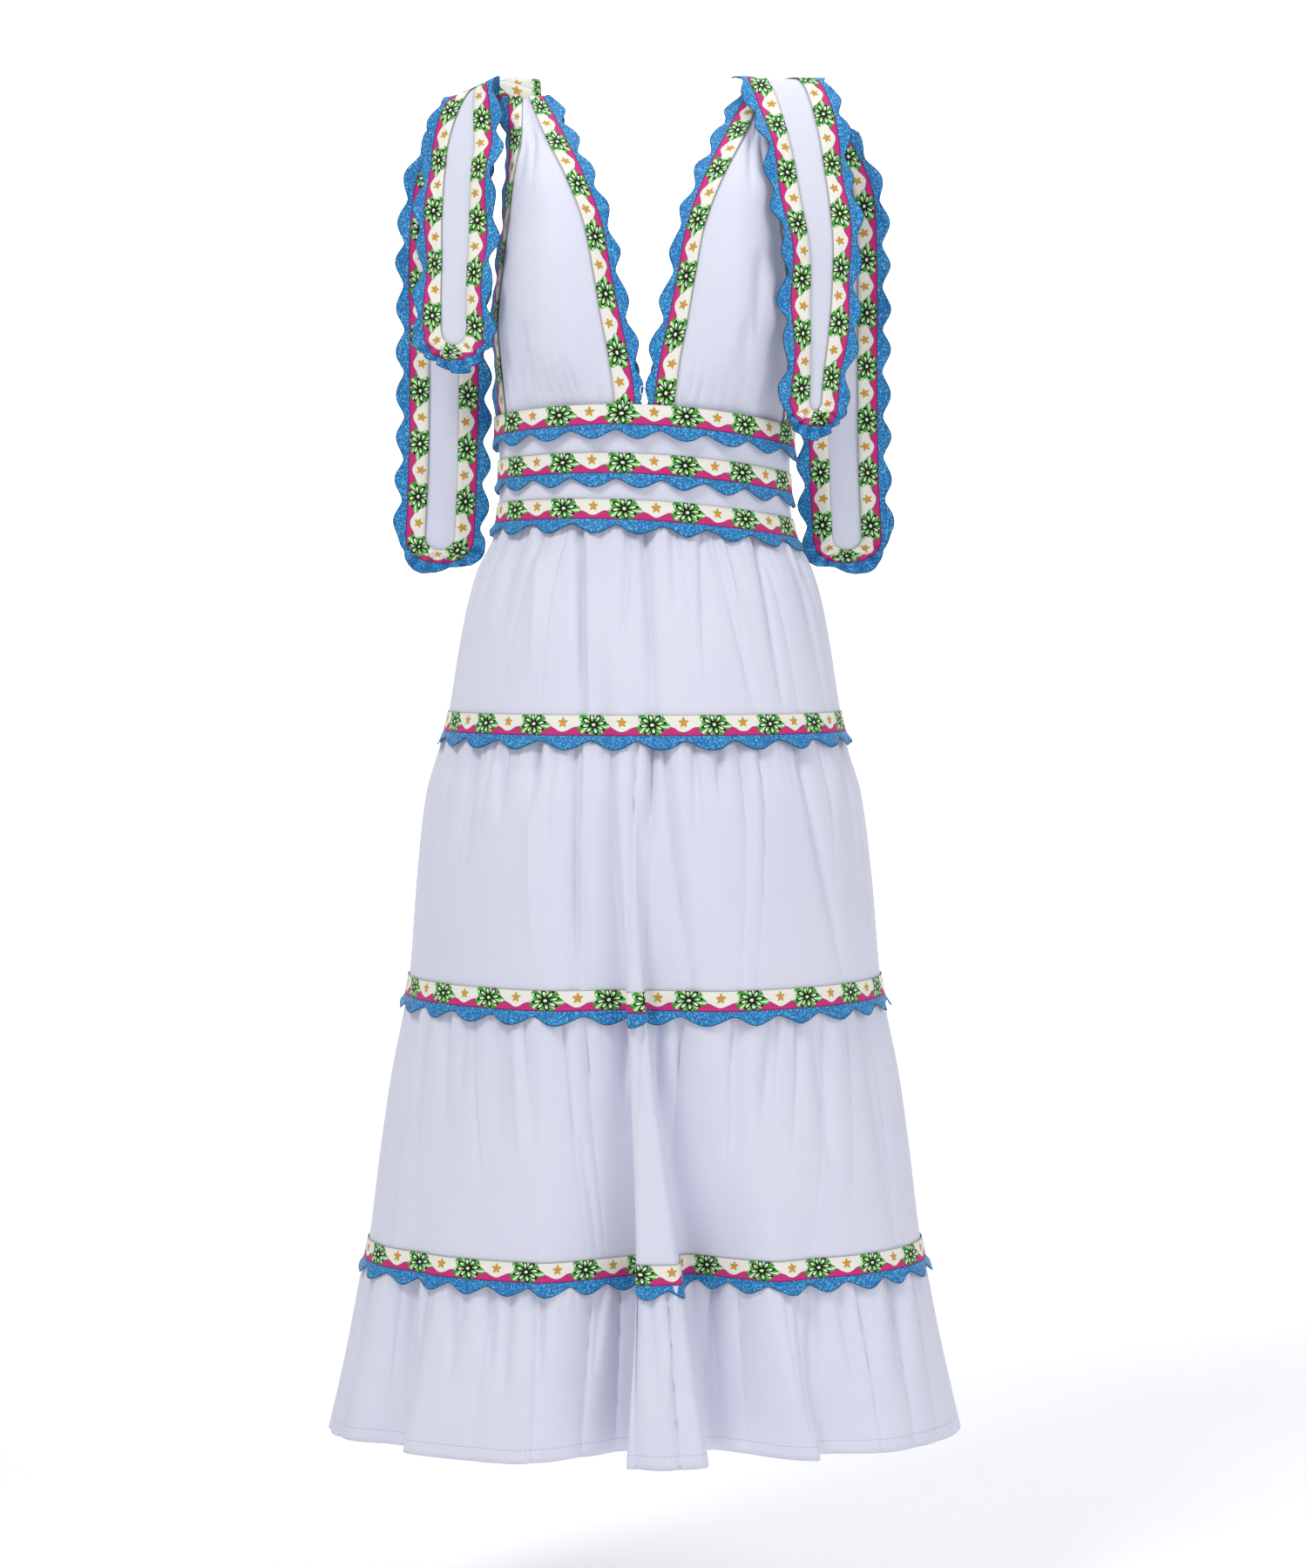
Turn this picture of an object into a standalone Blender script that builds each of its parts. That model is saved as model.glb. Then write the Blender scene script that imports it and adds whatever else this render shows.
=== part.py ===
"""A sleeveless tiered cotton midi dress, filled out as worn, with tied shoulders and scalloped border trims.

Metres, +Z up, the dress facing -Y. The origin lies between the shoulders, at the height where they carry it.
Every cloth piece is an open surface with a Solidify modifier, so that it is a thin wall round an empty hollow.
"""

import math
from collections import namedtuple
from functools import partial

import bmesh
import bpy
from mathutils import Vector

# Cloth and seams
WALL = 0.0012
SEAM_GAP = 0.0003
TRIM_GAP = 0.0006
CENTRE_GAP = 0.0012
SHARPEST_TURN = 0.5

# The border trim: a printed ribbon with a scalloped edging along one side
RIBBON_WIDTH = 0.0180
SCALLOP_NOTCH = 0.0050
SCALLOP_CREST = 0.0130
TRIM_FLARE = 0.0042
WAIST_FLARE = 0.0025
LAST_WAIST_FLARE = 0.0050
EDGE_SCALLOP_STEPS = 3

# Where one tier meets the next, behind its trim
TUCK_INSET = 0.0018
BULGE_DROP = 0.0450
HEM_Z = -1.2136

# Columns round each ring: those of the front half and of the back half are equal in number
WAIST_COLUMNS = 18
RIBBON_COLUMNS = 2
BODICE_COLUMNS = 9
SIDE_ANGLE = 90.0
ARMHOLE_ANGLE = 78.0

# Each section of the body and skirt is a half ellipse in front and another behind
Level = namedtuple("Level", "z half_width front_depth back_depth")
LEVELS = (
    Level(-0.2550, 0.1350, 0.1085, 0.0930),
    Level(-0.2890, 0.1345, 0.1050, 0.0900),
    Level(-0.3300, 0.1328, 0.1010, 0.0860),
    Level(-0.3700, 0.1340, 0.1000, 0.0850),
    Level(-0.3950, 0.1385, 0.1040, 0.0890),
    Level(-0.4200, 0.1515, 0.1170, 0.1010),
    Level(-0.4510, 0.1615, 0.1300, 0.1130),
    Level(-0.4920, 0.1700, 0.1410, 0.1250),
    Level(-0.5450, 0.1785, 0.1520, 0.1370),
    Level(-0.5850, 0.1855, 0.1590, 0.1440),
    Level(-0.6270, 0.1985, 0.1710, 0.1560),
    Level(-0.6980, 0.2085, 0.1770, 0.1640),
    Level(-0.7800, 0.2155, 0.1790, 0.1680),
    Level(-0.8250, 0.2205, 0.1780, 0.1690),
    Level(-0.8820, 0.2325, 0.1740, 0.1690),
    Level(-0.9520, 0.2435, 0.1670, 0.1650),
    Level(-1.0300, 0.2535, 0.1560, 0.1580),
    Level(-1.0700, 0.2600, 0.1540, 0.1570),
    Level(-1.1330, 0.2735, 0.1640, 0.1670),
    Level(-1.2136, 0.2925, 0.1720, 0.1800),
)

# The large folds run down the skirt. Angles are in degrees from the centre front, towards +X. Depth is inwards.
FoldLevel = namedtuple("FoldLevel", "z angle half_angle depth")
FOLDS = {
    "front left groove": (
        FoldLevel(-0.40, -22.0, 12.0, 0.000),
        FoldLevel(-0.56, -16.8, 11.0, 0.007),
        FoldLevel(-0.80, -13.4, 11.0, 0.024),
        FoldLevel(-1.05, -11.0, 10.5, 0.052),
        FoldLevel(-1.2136, -12.5, 10.5, 0.066),
    ),
    "front right groove": (
        FoldLevel(-0.40, 1.0, 12.0, 0.000),
        FoldLevel(-0.56, 4.3, 11.0, 0.006),
        FoldLevel(-0.80, 9.4, 11.0, 0.022),
        FoldLevel(-1.05, 17.0, 11.5, 0.056),
        FoldLevel(-1.2136, 20.6, 11.0, 0.064),
    ),
    "front centre lobe": (
        FoldLevel(-0.80, -2.0, 12.0, 0.000),
        FoldLevel(-1.05, 2.0, 13.0, 0.000),
        FoldLevel(-1.2136, 4.0, 14.0, -0.010),
    ),
    "left side fold": (
        FoldLevel(-0.95, -56.0, 12.0, 0.000),
        FoldLevel(-1.07, -56.0, 12.0, 0.006),
        FoldLevel(-1.2136, -58.0, 12.0, 0.022),
    ),
    "right side fold": (
        FoldLevel(-0.95, 38.0, 10.0, 0.000),
        FoldLevel(-1.07, 39.0, 10.0, 0.006),
        FoldLevel(-1.2136, 40.0, 9.0, 0.022),
    ),
    "back left groove": (
        FoldLevel(-0.42, -150.0, 14.0, 0.000),
        FoldLevel(-0.80, -156.0, 13.0, 0.018),
        FoldLevel(-1.2136, -160.0, 12.0, 0.050),
    ),
    "back right groove": (
        FoldLevel(-0.42, 158.0, 14.0, 0.000),
        FoldLevel(-0.80, 152.0, 13.0, 0.020),
        FoldLevel(-1.2136, 147.0, 12.0, 0.054),
    ),
    "back side fold": (
        FoldLevel(-0.85, 118.0, 12.0, 0.000),
        FoldLevel(-1.2136, 116.0, 12.0, 0.026),
    ),
}

# The three waist trims: the height of the ribbon's top edge at the sides, how far it rises at the centre front,
# and how far its -X end is above, and its +X end below, that height
WaistTrim = namedtuple("WaistTrim", "name z rise tilt flare")
WAIST_TRIMS = (
    WaistTrim("waist_trim_1", -0.2890, 0.0110, 0.0050, WAIST_FLARE),
    WaistTrim("waist_trim_2", -0.3294, 0.0083, 0.0062, WAIST_FLARE),
    WaistTrim("waist_trim_3", -0.3696, 0.0073, 0.0072, LAST_WAIST_FLARE),
)
BODICE_OVERLAP = 0.0100

# The four tiers: the top edge of the trim at the foot of each, and the columns of each half
Tier = namedtuple("Tier", "name trim_z columns columns_per_scallop gather")
TIERS = (
    Tier("skirt_tier_1", -0.5520, 36, 3, 0.0030),
    Tier("skirt_tier_2", -0.7930, 45, 3, 0.0036),
    Tier("skirt_tier_3", -1.0370, 40, 2, 0.0042),
    Tier("skirt_tier_4", None, 40, 2, 0.0048),
)

# A bodice panel, a row for each scallop along its edges. Depths are from the plane through the shoulders.
PanelRow = namedtuple("PanelRow", "z neck_x arm_x neck_depth full_depth arm_depth gather")
FRONT_PANEL = (
    PanelRow(-0.2350, 0.0150, 0.1330, 0.1070, 0.1160, 0.0260, 0.0014),
    PanelRow(-0.2000, 0.0230, 0.1350, 0.1080, 0.1220, 0.0400, 0.0004),
    PanelRow(-0.1600, 0.0310, 0.1310, 0.1040, 0.1210, 0.0460, 0.0000),
    PanelRow(-0.1180, 0.0390, 0.1260, 0.0970, 0.1110, 0.0470, 0.0000),
    PanelRow(-0.0760, 0.0540, 0.1220, 0.0840, 0.0930, 0.0490, 0.0006),
    PanelRow(-0.0370, 0.0720, 0.1200, 0.0560, 0.0610, 0.0400, 0.0012),
    PanelRow(0.0040, 0.0920, 0.1240, 0.0175, 0.0175, 0.0175, 0.0000),
)
BACK_PANEL = (
    PanelRow(-0.2350, 0.0180, 0.1290, 0.0940, 0.0980, 0.0340, 0.0014),
    PanelRow(-0.2000, 0.0270, 0.1270, 0.0970, 0.1010, 0.0430, 0.0004),
    PanelRow(-0.1600, 0.0360, 0.1240, 0.1000, 0.1040, 0.0470, 0.0000),
    PanelRow(-0.1180, 0.0460, 0.1210, 0.0980, 0.1020, 0.0480, 0.0000),
    PanelRow(-0.0760, 0.0610, 0.1190, 0.0900, 0.0940, 0.0460, 0.0006),
    PanelRow(-0.0370, 0.0770, 0.1180, 0.0600, 0.0640, 0.0420, 0.0012),
    PanelRow(0.0040, 0.0920, 0.1240, 0.0175, 0.0175, 0.0175, 0.0000),
)
V_FOOT_HALF_WIDTH = 0.0085
FOOT_REACH = LEVELS[1].half_width * math.sin(math.radians(ARMHOLE_ANGLE))
MOST_RIBBON_SHARE = 0.42
FINE_STEPS = 60
FULLEST_AT = 0.45
ABOVE_WAIST_TRIM = 0.0040

# The shoulder knots, as drums across the shoulder line with their wraps round the Y axis
Knot = namedtuple("Knot", "name x z half_width half_height")
KNOTS = (
    Knot("shoulder_knot_left", -0.1160, 0.0090, 0.0235, 0.0165),
    Knot("shoulder_knot_right", 0.1120, 0.0030, 0.0220, 0.0165),
)
KNOT_HALF_DEPTH = 0.0160
KNOT_SEGMENTS = 16
KNOT_ROUNDING = 0.0050

# The route of each tie's middle line, its half width there, and the turn of its face in degrees about +Z
TieRow = namedtuple("TieRow", "x y z half_width turn")
TIES = {
    "tie_front_left": (
        TieRow(-0.1424, -0.0104, 0.0090, 0.0075, -85.0),
        TieRow(-0.1500, -0.0210, 0.0130, 0.0130, -62.0),
        TieRow(-0.1580, -0.0340, 0.0000, 0.0240, -38.0),
        TieRow(-0.1650, -0.0490, -0.0450, 0.0330, -33.0),
        TieRow(-0.1685, -0.0600, -0.1100, 0.0330, -33.0),
        TieRow(-0.1700, -0.0640, -0.1700, 0.0320, -32.0),
        TieRow(-0.1700, -0.0640, -0.2360, 0.0310, -30.0),
    ),
    "tie_back_left": (
        TieRow(-0.1413, 0.0055, 0.0088, 0.0070, -90.0),
        TieRow(-0.1500, 0.0100, -0.0120, 0.0140, -55.0),
        TieRow(-0.1680, 0.0140, -0.0380, 0.0260, -20.0),
        TieRow(-0.1810, 0.0150, -0.0800, 0.0310, -5.0),
        TieRow(-0.1845, 0.0150, -0.1400, 0.0315, 0.0),
        TieRow(-0.1845, 0.0180, -0.2200, 0.0315, 0.0),
        TieRow(-0.1860, 0.0260, -0.3200, 0.0315, 0.0),
        TieRow(-0.1910, 0.0320, -0.4160, 0.0315, 0.0),
    ),
    "tie_front_right": (
        TieRow(0.1180, 0.0120, 0.0236, 0.0280, 0.0),
        TieRow(0.1220, -0.0120, 0.0214, 0.0310, 3.0),
        TieRow(0.1260, -0.0260, 0.0165, 0.0330, 8.0),
        TieRow(0.1330, -0.0400, 0.0010, 0.0330, 14.0),
        TieRow(0.1430, -0.0600, -0.0420, 0.0330, 20.0),
        TieRow(0.1510, -0.0770, -0.0920, 0.0320, 24.0),
        TieRow(0.1570, -0.0830, -0.1450, 0.0300, 26.0),
        TieRow(0.1560, -0.0830, -0.2000, 0.0280, 26.0),
        TieRow(0.1535, -0.0800, -0.2480, 0.0250, 26.0),
        TieRow(0.1510, -0.0780, -0.2960, 0.0230, 26.0),
    ),
    "tie_back_right": (
        TieRow(0.1356, 0.0060, 0.0040, 0.0080, 90.0),
        TieRow(0.1450, 0.0100, -0.0120, 0.0140, 55.0),
        TieRow(0.1650, 0.0140, -0.0380, 0.0260, 20.0),
        TieRow(0.1780, 0.0150, -0.0800, 0.0310, 5.0),
        TieRow(0.1815, 0.0150, -0.1400, 0.0315, 0.0),
        TieRow(0.1820, 0.0180, -0.2200, 0.0315, 0.0),
        TieRow(0.1835, 0.0260, -0.3200, 0.0315, 0.0),
        TieRow(0.1885, 0.0320, -0.4160, 0.0315, 0.0),
    ),
}
TIE_TRIM_START = 2
TIE_RIBBON_SHARE = 0.80
TIE_SCALLOP = 0.0420
TIE_END_SCALLOPS = 3

COTTON = ("white_cotton", (0.78, 0.79, 0.86, 1.0), 0.85)
TRIM = ("border_trim", (0.20, 0.52, 0.72, 1.0), 0.90)


def clear_scene():
    for obj in list(bpy.data.objects):
        bpy.data.objects.remove(obj, do_unlink=True)


def material(name, colour, roughness):
    made = bpy.data.materials.get(name) or bpy.data.materials.new(name)
    made.use_nodes = True
    shader = made.node_tree.nodes["Principled BSDF"]
    shader.inputs["Base Color"].default_value = colour
    shader.inputs["Roughness"].default_value = roughness
    shader.inputs["Metallic"].default_value = 0.0
    return made


def add_object(name, mesh, finish, collection):
    slot, colour, roughness = finish
    obj = bpy.data.objects.new(name, mesh)
    mesh.materials.append(material(slot, colour, roughness))
    mesh.shade_smooth()
    collection.objects.link(obj)
    return obj


def add_cloth(name, points, faces, finish, collection, outwards=False):
    """An open surface thickened to a wall: inwards from a panel, or outwards for what lies on one."""
    mesh = bpy.data.meshes.new(name)
    mesh.from_pydata([tuple(point) for point in points], [], faces)
    mesh.update()
    obj = add_object(name, mesh, finish, collection)
    wall = obj.modifiers.new("Wall", "SOLIDIFY")
    wall.thickness = WALL
    wall.offset = 1.0 if outwards else -1.0
    return obj


def add_grid(name, rows, finish, collection):
    """Cloth through rows of points, which run anticlockwise seen from outside, the first row highest."""
    columns = len(rows[0])
    points = [point for row in rows for point in row]
    faces = []
    for i in range(len(rows) - 1):
        for j in range(columns - 1):
            first = i * columns + j
            faces.append((first, first + columns, first + columns + 1, first + 1))
    return add_cloth(name, points, faces, finish, collection)


def strip_triangles(lines, count, flipped, falling):
    """Triangles between lines of points, numbered line by line. falling says which way each pair is divided."""
    faces = []
    for line in range(lines - 1):
        for k in range(count - 1):
            here, after = line * count + k, line * count + k + 1
            inner, inner_after = here + count, after + count
            if falling:
                faces += [(here, after, inner_after), (here, inner_after, inner)]
            else:
                faces += [(here, after, inner), (after, inner_after, inner)]
    return [face[::-1] for face in faces] if flipped else faces


def lifted(points, faces, gap):
    """Each point moved out so that the faces around it all move out by the gap."""
    around = [[] for _ in points]
    for face in faces:
        a, b, c = (points[k] for k in face[:3])
        for k in face:
            around[k].append((b - a).cross(c - a).normalized())
    moved = []
    for point, normals in zip(points, around):
        middle = sum(normals, Vector()).normalized()
        least = min(normal.dot(middle) for normal in normals)
        moved.append(point + middle * (gap / max(SHARPEST_TURN, least)))
    return moved


def table_value(rows, z, column):
    """A column of a table at height z, on a smooth curve through its rows."""
    if z >= rows[0].z:
        return getattr(rows[0], column)
    if z <= rows[-1].z:
        return getattr(rows[-1], column)
    i = max(k for k in range(len(rows) - 1) if rows[k].z >= z)
    near = [rows[max(0, i - 1)], rows[i], rows[i + 1], rows[min(len(rows) - 1, i + 2)]]
    heights = [row.z for row in near]
    values = [getattr(row, column) for row in near]
    span = heights[2] - heights[1]
    t = (z - heights[1]) / span
    start = (values[2] - values[0]) / (heights[2] - heights[0]) * span
    end = (values[3] - values[1]) / (heights[3] - heights[1]) * span
    return (
        (2 * t**3 - 3 * t**2 + 1) * values[1]
        + (t**3 - 2 * t**2 + t) * start
        + (3 * t**2 - 2 * t**3) * values[2]
        + (t**3 - t**2) * end
    )


def fold_depth(angle, z):
    """How far the large folds carry a point inwards."""
    depth = 0.0
    for rows in FOLDS.values():
        centre = table_value(rows, z, "angle")
        reach = table_value(rows, z, "half_angle")
        away = abs((angle - centre + 180.0) % 360.0 - 180.0) / reach
        if away < 1.0 and z < rows[0].z:
            depth += table_value(rows, z, "depth") * (0.5 + 0.5 * math.cos(math.pi * away))
    return depth


def section_point(angle, z, inset=0.0):
    """A point on the dress's section at height z, and its outward direction in plan."""
    turn = math.radians(angle)
    half_width = table_value(LEVELS, z, "half_width")
    depth = table_value(LEVELS, z, "front_depth" if math.cos(turn) > 0 else "back_depth")
    outward = Vector((math.sin(turn) / half_width, -math.cos(turn) / depth, 0.0)).normalized()
    point = Vector((half_width * math.sin(turn), -depth * math.cos(turn), z))
    return point - outward * (inset + fold_depth(angle, z)), outward


def equal_angles(z, start, end, columns):
    """Angles that part the section at height z into columns of equal length."""
    steps = columns * 12
    angles = [start + (end - start) * k / steps for k in range(steps + 1)]
    points = [section_point(angle, z)[0] for angle in angles]
    lengths = [0.0]
    for a, b in zip(points, points[1:]):
        lengths.append(lengths[-1] + (b - a).length)
    chosen = []
    k = 0
    for j in range(columns + 1):
        target = lengths[-1] * j / columns
        while k < steps - 1 and lengths[k + 1] < target:
            k += 1
        share = (target - lengths[k]) / (lengths[k + 1] - lengths[k])
        chosen.append(angles[k] + (angles[k + 1] - angles[k]) * min(1.0, max(0.0, share)))
    return chosen


def uneven(j):
    """Makes every gather differ a little from the next."""
    return 0.70 + 0.30 * math.sin(2.4 * j + 0.7) * math.cos(1.1 * j)


def half_ring(z_of, columns, start, inset, gather):
    """Half of a ring, with its gathers, standing clear of the other half by the seam gap."""
    level = z_of(start + SIDE_ANGLE)
    points = []
    for j, angle in enumerate(equal_angles(level, start, start + 2 * SIDE_ANGLE, columns)):
        z = z_of(angle)
        near_seam = min(1.0, min(j, columns - j) / 2)
        ripple = gather * 0.5 * uneven(j) * near_seam * (1 if j % 2 else -1)
        point, _ = section_point(angle, z, inset + ripple + gather * 0.5 * near_seam)
        if j in (0, columns):
            point.y = math.copysign(SEAM_GAP, -1 if start == -SIDE_ANGLE else 1)
        points.append(point)
    return points


def add_tube_piece(name, levels, columns, collection):
    """One ring of the dress as its front and back halves. Each level has its height, inset and gather."""
    halves = []
    for side, start in (("front", -SIDE_ANGLE), ("back", SIDE_ANGLE)):
        rows = [half_ring(z_of, columns, start, inset, gather) for z_of, inset, gather in levels]
        add_grid(f"{name}_{side}", rows, COTTON, collection)
        halves.append(rows)
    return halves


def scallop_reach(phase):
    """How far the edging reaches past the ribbon, from 0 and 1 at a notch to 0.5 at a crest."""
    return SCALLOP_NOTCH + (SCALLOP_CREST - SCALLOP_NOTCH) * abs(math.sin(math.pi * phase)) ** 0.6


def add_trim(name, tops, edges, outs, per_scallop, collection):
    """A closed trim from its top line to its scallops. outs carries each edge point out by a metre of reach."""
    count = len(tops)
    between = {3: 0, 2: 1, 1: 2}[per_scallop]
    points = list(tops)
    bottoms = []
    for k in range(count):
        following = (k + 1) % count
        cell = []
        for step in range(between + 1):
            t = step / (between + 1)
            phase = (k % per_scallop + t) / per_scallop
            edge = edges[k].lerp(edges[following], t)
            out = outs[k].lerp(outs[following], t)
            cell.append(len(points))
            points.append(edge + out * scallop_reach(phase))
        bottoms.append(cell)
    faces = []
    for k in range(count):
        following = (k + 1) % count
        faces.append((k, *bottoms[k], bottoms[following][0], following))
    return add_cloth(name, points, faces, TRIM, collection, outwards=True)


def plan_normals(ring):
    """For each point of a closed ring, the step in plan that moves both faces beside it out by a metre."""
    normals = []
    for k, point in enumerate(ring):
        before, after = ring[k - 1], ring[(k + 1) % len(ring)]
        first = Vector((point.y - before.y, before.x - point.x, 0.0)).normalized()
        second = Vector((after.y - point.y, point.x - after.x, 0.0)).normalized()
        middle = (first + second).normalized()
        normals.append(middle / max(SHARPEST_TURN, middle.dot(first)))
    return normals


def add_ring_trim(name, wall_above, wall_below, top_z, flare, per_scallop, collection):
    """A trim round the dress, on the wall that runs straight from one ring of points to another."""
    tops, edges, slopes = [], [], []
    for above, below in zip(wall_above, wall_below):
        slope = (below - above) / (above.z - below.z)
        drop = above.z - top_z(math.degrees(math.atan2(below.x, -below.y)))
        tops.append(above + slope * drop)
        edges.append(above + slope * (drop + RIBBON_WIDTH))
        slopes.append(slope)
    tops = [point + normal * TRIM_GAP for point, normal in zip(tops, plan_normals(tops))]
    normals = plan_normals(edges)
    edges = [point + normal * (TRIM_GAP + flare * 0.5) for point, normal in zip(edges, normals)]
    outs = [slope + normal * (flare * 0.5 / SCALLOP_CREST) for slope, normal in zip(slopes, normals)]
    add_trim(name, tops, edges, outs, per_scallop, collection)


def joined_ring(front_row, back_row):
    """Both halves of a ring as one closed loop of points."""
    ring = [point.copy() for point in front_row] + [point.copy() for point in back_row[1:-1]]
    for seam in (ring[0], ring[len(front_row) - 1]):
        seam.y = 0.0
    return ring


def waist_height(trim, angle):
    """The height of a waist trim's top edge."""
    turn = math.radians(angle)
    return trim.z + trim.rise * max(0.0, math.cos(turn)) ** 2 - trim.tilt * math.sin(turn)


def build_waist(collection):
    first, second, third = WAIST_TRIMS

    def top(angle):
        return waist_height(first, angle) - BODICE_OVERLAP - SEAM_GAP

    def middle(angle):
        return waist_height(second, angle)

    levels = ((top, 0.0, 0.0), (middle, 0.0, 0.0), (waist_seam, 0.0, 0.0))
    front, back = add_tube_piece("midriff", levels, WAIST_COLUMNS, collection)
    rings = [joined_ring(a, b) for a, b in zip(front, back)]
    for trim, above, below in ((first, 0, 1), (second, 1, 2), (third, 1, 2)):
        heights = partial(waist_height, trim)
        add_ring_trim(trim.name, rings[above], rings[below], heights, trim.flare, 2, collection)


def waist_seam(angle):
    """The height of the seam between the midriff and the first tier."""
    return waist_height(WAIST_TRIMS[-1], angle) - RIBBON_WIDTH


def level_seam(height, _angle):
    return height


def tier_levels(tier, above, foot):
    """The levels of a tier between two seams, from under the piece above to its foot."""

    def top(angle):
        return above(angle) - SEAM_GAP

    def bulge(angle):
        return above(angle) - BULGE_DROP

    def middle(angle):
        return (bulge(angle) + foot(angle)) / 2

    levels = [
        (top, TUCK_INSET, tier.gather * 0.4),
        (bulge, 0.0, tier.gather),
        (middle, 0.0, tier.gather * 0.4),
    ]
    if tier.trim_z is not None:
        levels.append((partial(level_seam, tier.trim_z), 0.0, 0.0))
    return levels + [(foot, 0.0, 0.0)]


def build_skirt(collection):
    above = waist_seam
    for number, tier in enumerate(TIERS, 1):
        foot = partial(level_seam, HEM_Z if tier.trim_z is None else tier.trim_z - RIBBON_WIDTH)
        levels = tier_levels(tier, above, foot)
        front, back = add_tube_piece(tier.name, levels, tier.columns, collection)
        if tier.trim_z is not None:
            add_ring_trim(
                f"skirt_trim_{number}",
                joined_ring(front[-2], back[-2]),
                joined_ring(front[-1], back[-1]),
                partial(level_seam, tier.trim_z),
                TRIM_FLARE,
                tier.columns_per_scallop,
                collection,
            )
        above = foot


def panel_point(row, share):
    """A point of a bodice row, with the shares 0 at the neck edge and 1 at the armhole, on +X and in front."""
    x = row.neck_x + (row.arm_x - row.neck_x) * share
    if share <= FULLEST_AT:
        away = (FULLEST_AT - share) / FULLEST_AT
        depth = row.full_depth - (row.full_depth - row.neck_depth) * away**2
    else:
        away = (share - FULLEST_AT) / (1.0 - FULLEST_AT)
        depth = row.arm_depth + (row.full_depth - row.arm_depth) * max(0.0, 1.0 - away**2) ** 0.75
    return Vector((x, -depth, row.z))


def panel_columns(line):
    """The points that part a fine line into a panel's columns, with ribbon columns along both of its ends."""
    lengths = [0.0]
    for a, b in zip(line, line[1:]):
        lengths.append(lengths[-1] + (b - a).length)
    whole = lengths[-1]
    ribbon = min(RIBBON_WIDTH, MOST_RIBBON_SHARE * whole)
    between = BODICE_COLUMNS - 2 * RIBBON_COLUMNS
    distances = [ribbon * k / RIBBON_COLUMNS for k in range(RIBBON_COLUMNS)]
    distances += [ribbon + (whole - 2 * ribbon) * k / between for k in range(between + 1)]
    distances += [whole - ribbon * k / RIBBON_COLUMNS for k in range(RIBBON_COLUMNS - 1, -1, -1)]
    points = []
    k = 0
    for distance in distances:
        while k < len(line) - 2 and lengths[k + 1] < distance:
            k += 1
        points.append(line[k].lerp(line[k + 1], (distance - lengths[k]) / (lengths[k + 1] - lengths[k])))
    return points


def panel_rows(table, is_back, side):
    """The rows of a bodice panel, from the shoulder to its foot behind the first waist trim."""
    shares = [k / FINE_STEPS for k in range(FINE_STEPS + 1)]
    rows = []
    for row in reversed(table):
        line = []
        for share in shares:
            point = panel_point(row, share)
            line.append(Vector((side * point.x, -point.y if is_back else point.y, point.z)))
        points = panel_columns(line)
        for j, point in enumerate(points):
            near_edge = min(1.0, max(0, min(j, BODICE_COLUMNS - j) - RIBBON_COLUMNS) / 2)
            point.y += row.gather * near_edge * (1 if j % 2 else -1)
        rows.append(points)
    for rise, inset in ((ABOVE_WAIST_TRIM, 0.0006), (-BODICE_OVERLAP, 0.0014)):
        line = []
        for share in shares:
            x = V_FOOT_HALF_WIDTH + (FOOT_REACH - V_FOOT_HALF_WIDTH) * share
            angle = math.degrees(math.asin(x / LEVELS[1].half_width))
            angle = side * (180.0 - angle if is_back else angle)
            z = waist_height(WAIST_TRIMS[0], angle) + rise
            line.append(section_point(angle, z, inset)[0])
        rows.append(panel_columns(line))
    return rows


def build_bodice_panel(name, table, is_back, side, collection):
    """A front or back panel and the trims along its neck edge and armhole. side is 1 on +X and -1 on -X."""
    rows = panel_rows(table, is_back, side)
    flipped = (side > 0) == is_back
    columns = [list(column) for column in zip(*rows)]
    points = [point for column in columns for point in column]
    faces = strip_triangles(len(columns), len(rows), flipped, True)
    add_cloth(name, points, faces, COTTON, collection)
    moved = lifted(points, faces, TRIM_GAP)
    count = len(rows)
    lines = [moved[j * count : (j + 1) * count - 1] for j in range(len(columns))]
    where = "back" if is_back else "front"
    hand = "right" if side > 0 else "left"
    neck_lines = lines[: RIBBON_COLUMNS + 1]
    armhole_lines = lines[: -RIBBON_COLUMNS - 2 : -1]
    add_edge_trim(f"neck_trim_{where}_{hand}", neck_lines, flipped, True, collection)
    add_edge_trim(f"armhole_trim_{where}_{hand}", armhole_lines, not flipped, False, collection)


def add_edge_trim(name, lines, flipped, falling, collection):
    """A border trim on a panel's lines of points, from its edge inwards, with its scallops past the edge."""
    count = len(lines[0])
    points = [point for line in lines for point in line]
    faces = strip_triangles(len(lines), count, flipped, falling)
    edge = lines[0]
    outs = []
    for point, inner in zip(edge, lines[1]):
        out = (point - inner).normalized()
        to_centre = (abs(point.x) - CENTRE_GAP) / max(abs(out.x) * SCALLOP_CREST, CENTRE_GAP)
        outs.append(out * min(1.0, to_centre))
    notches = []
    for point, out in zip(edge, outs):
        points.append(point + out * SCALLOP_NOTCH)
        notches.append(len(points) - 1)
    for k in range(count - 1):
        cell = [k, notches[k]]
        for step in range(1, EDGE_SCALLOP_STEPS):
            t = step / EDGE_SCALLOP_STEPS
            points.append(edge[k].lerp(edge[k + 1], t) + outs[k].lerp(outs[k + 1], t) * scallop_reach(t))
            cell.append(len(points) - 1)
        cell += [notches[k + 1], k + 1]
        faces.append(tuple(cell[::-1] if flipped else cell))
    add_cloth(name, points, faces, TRIM, collection, outwards=True)


def build_bodice(collection):
    for where, table in (("front", FRONT_PANEL), ("back", BACK_PANEL)):
        for hand, side in (("left", -1), ("right", 1)):
            build_bodice_panel(f"bodice_{where}_{hand}", table, where == "back", side, collection)


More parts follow.
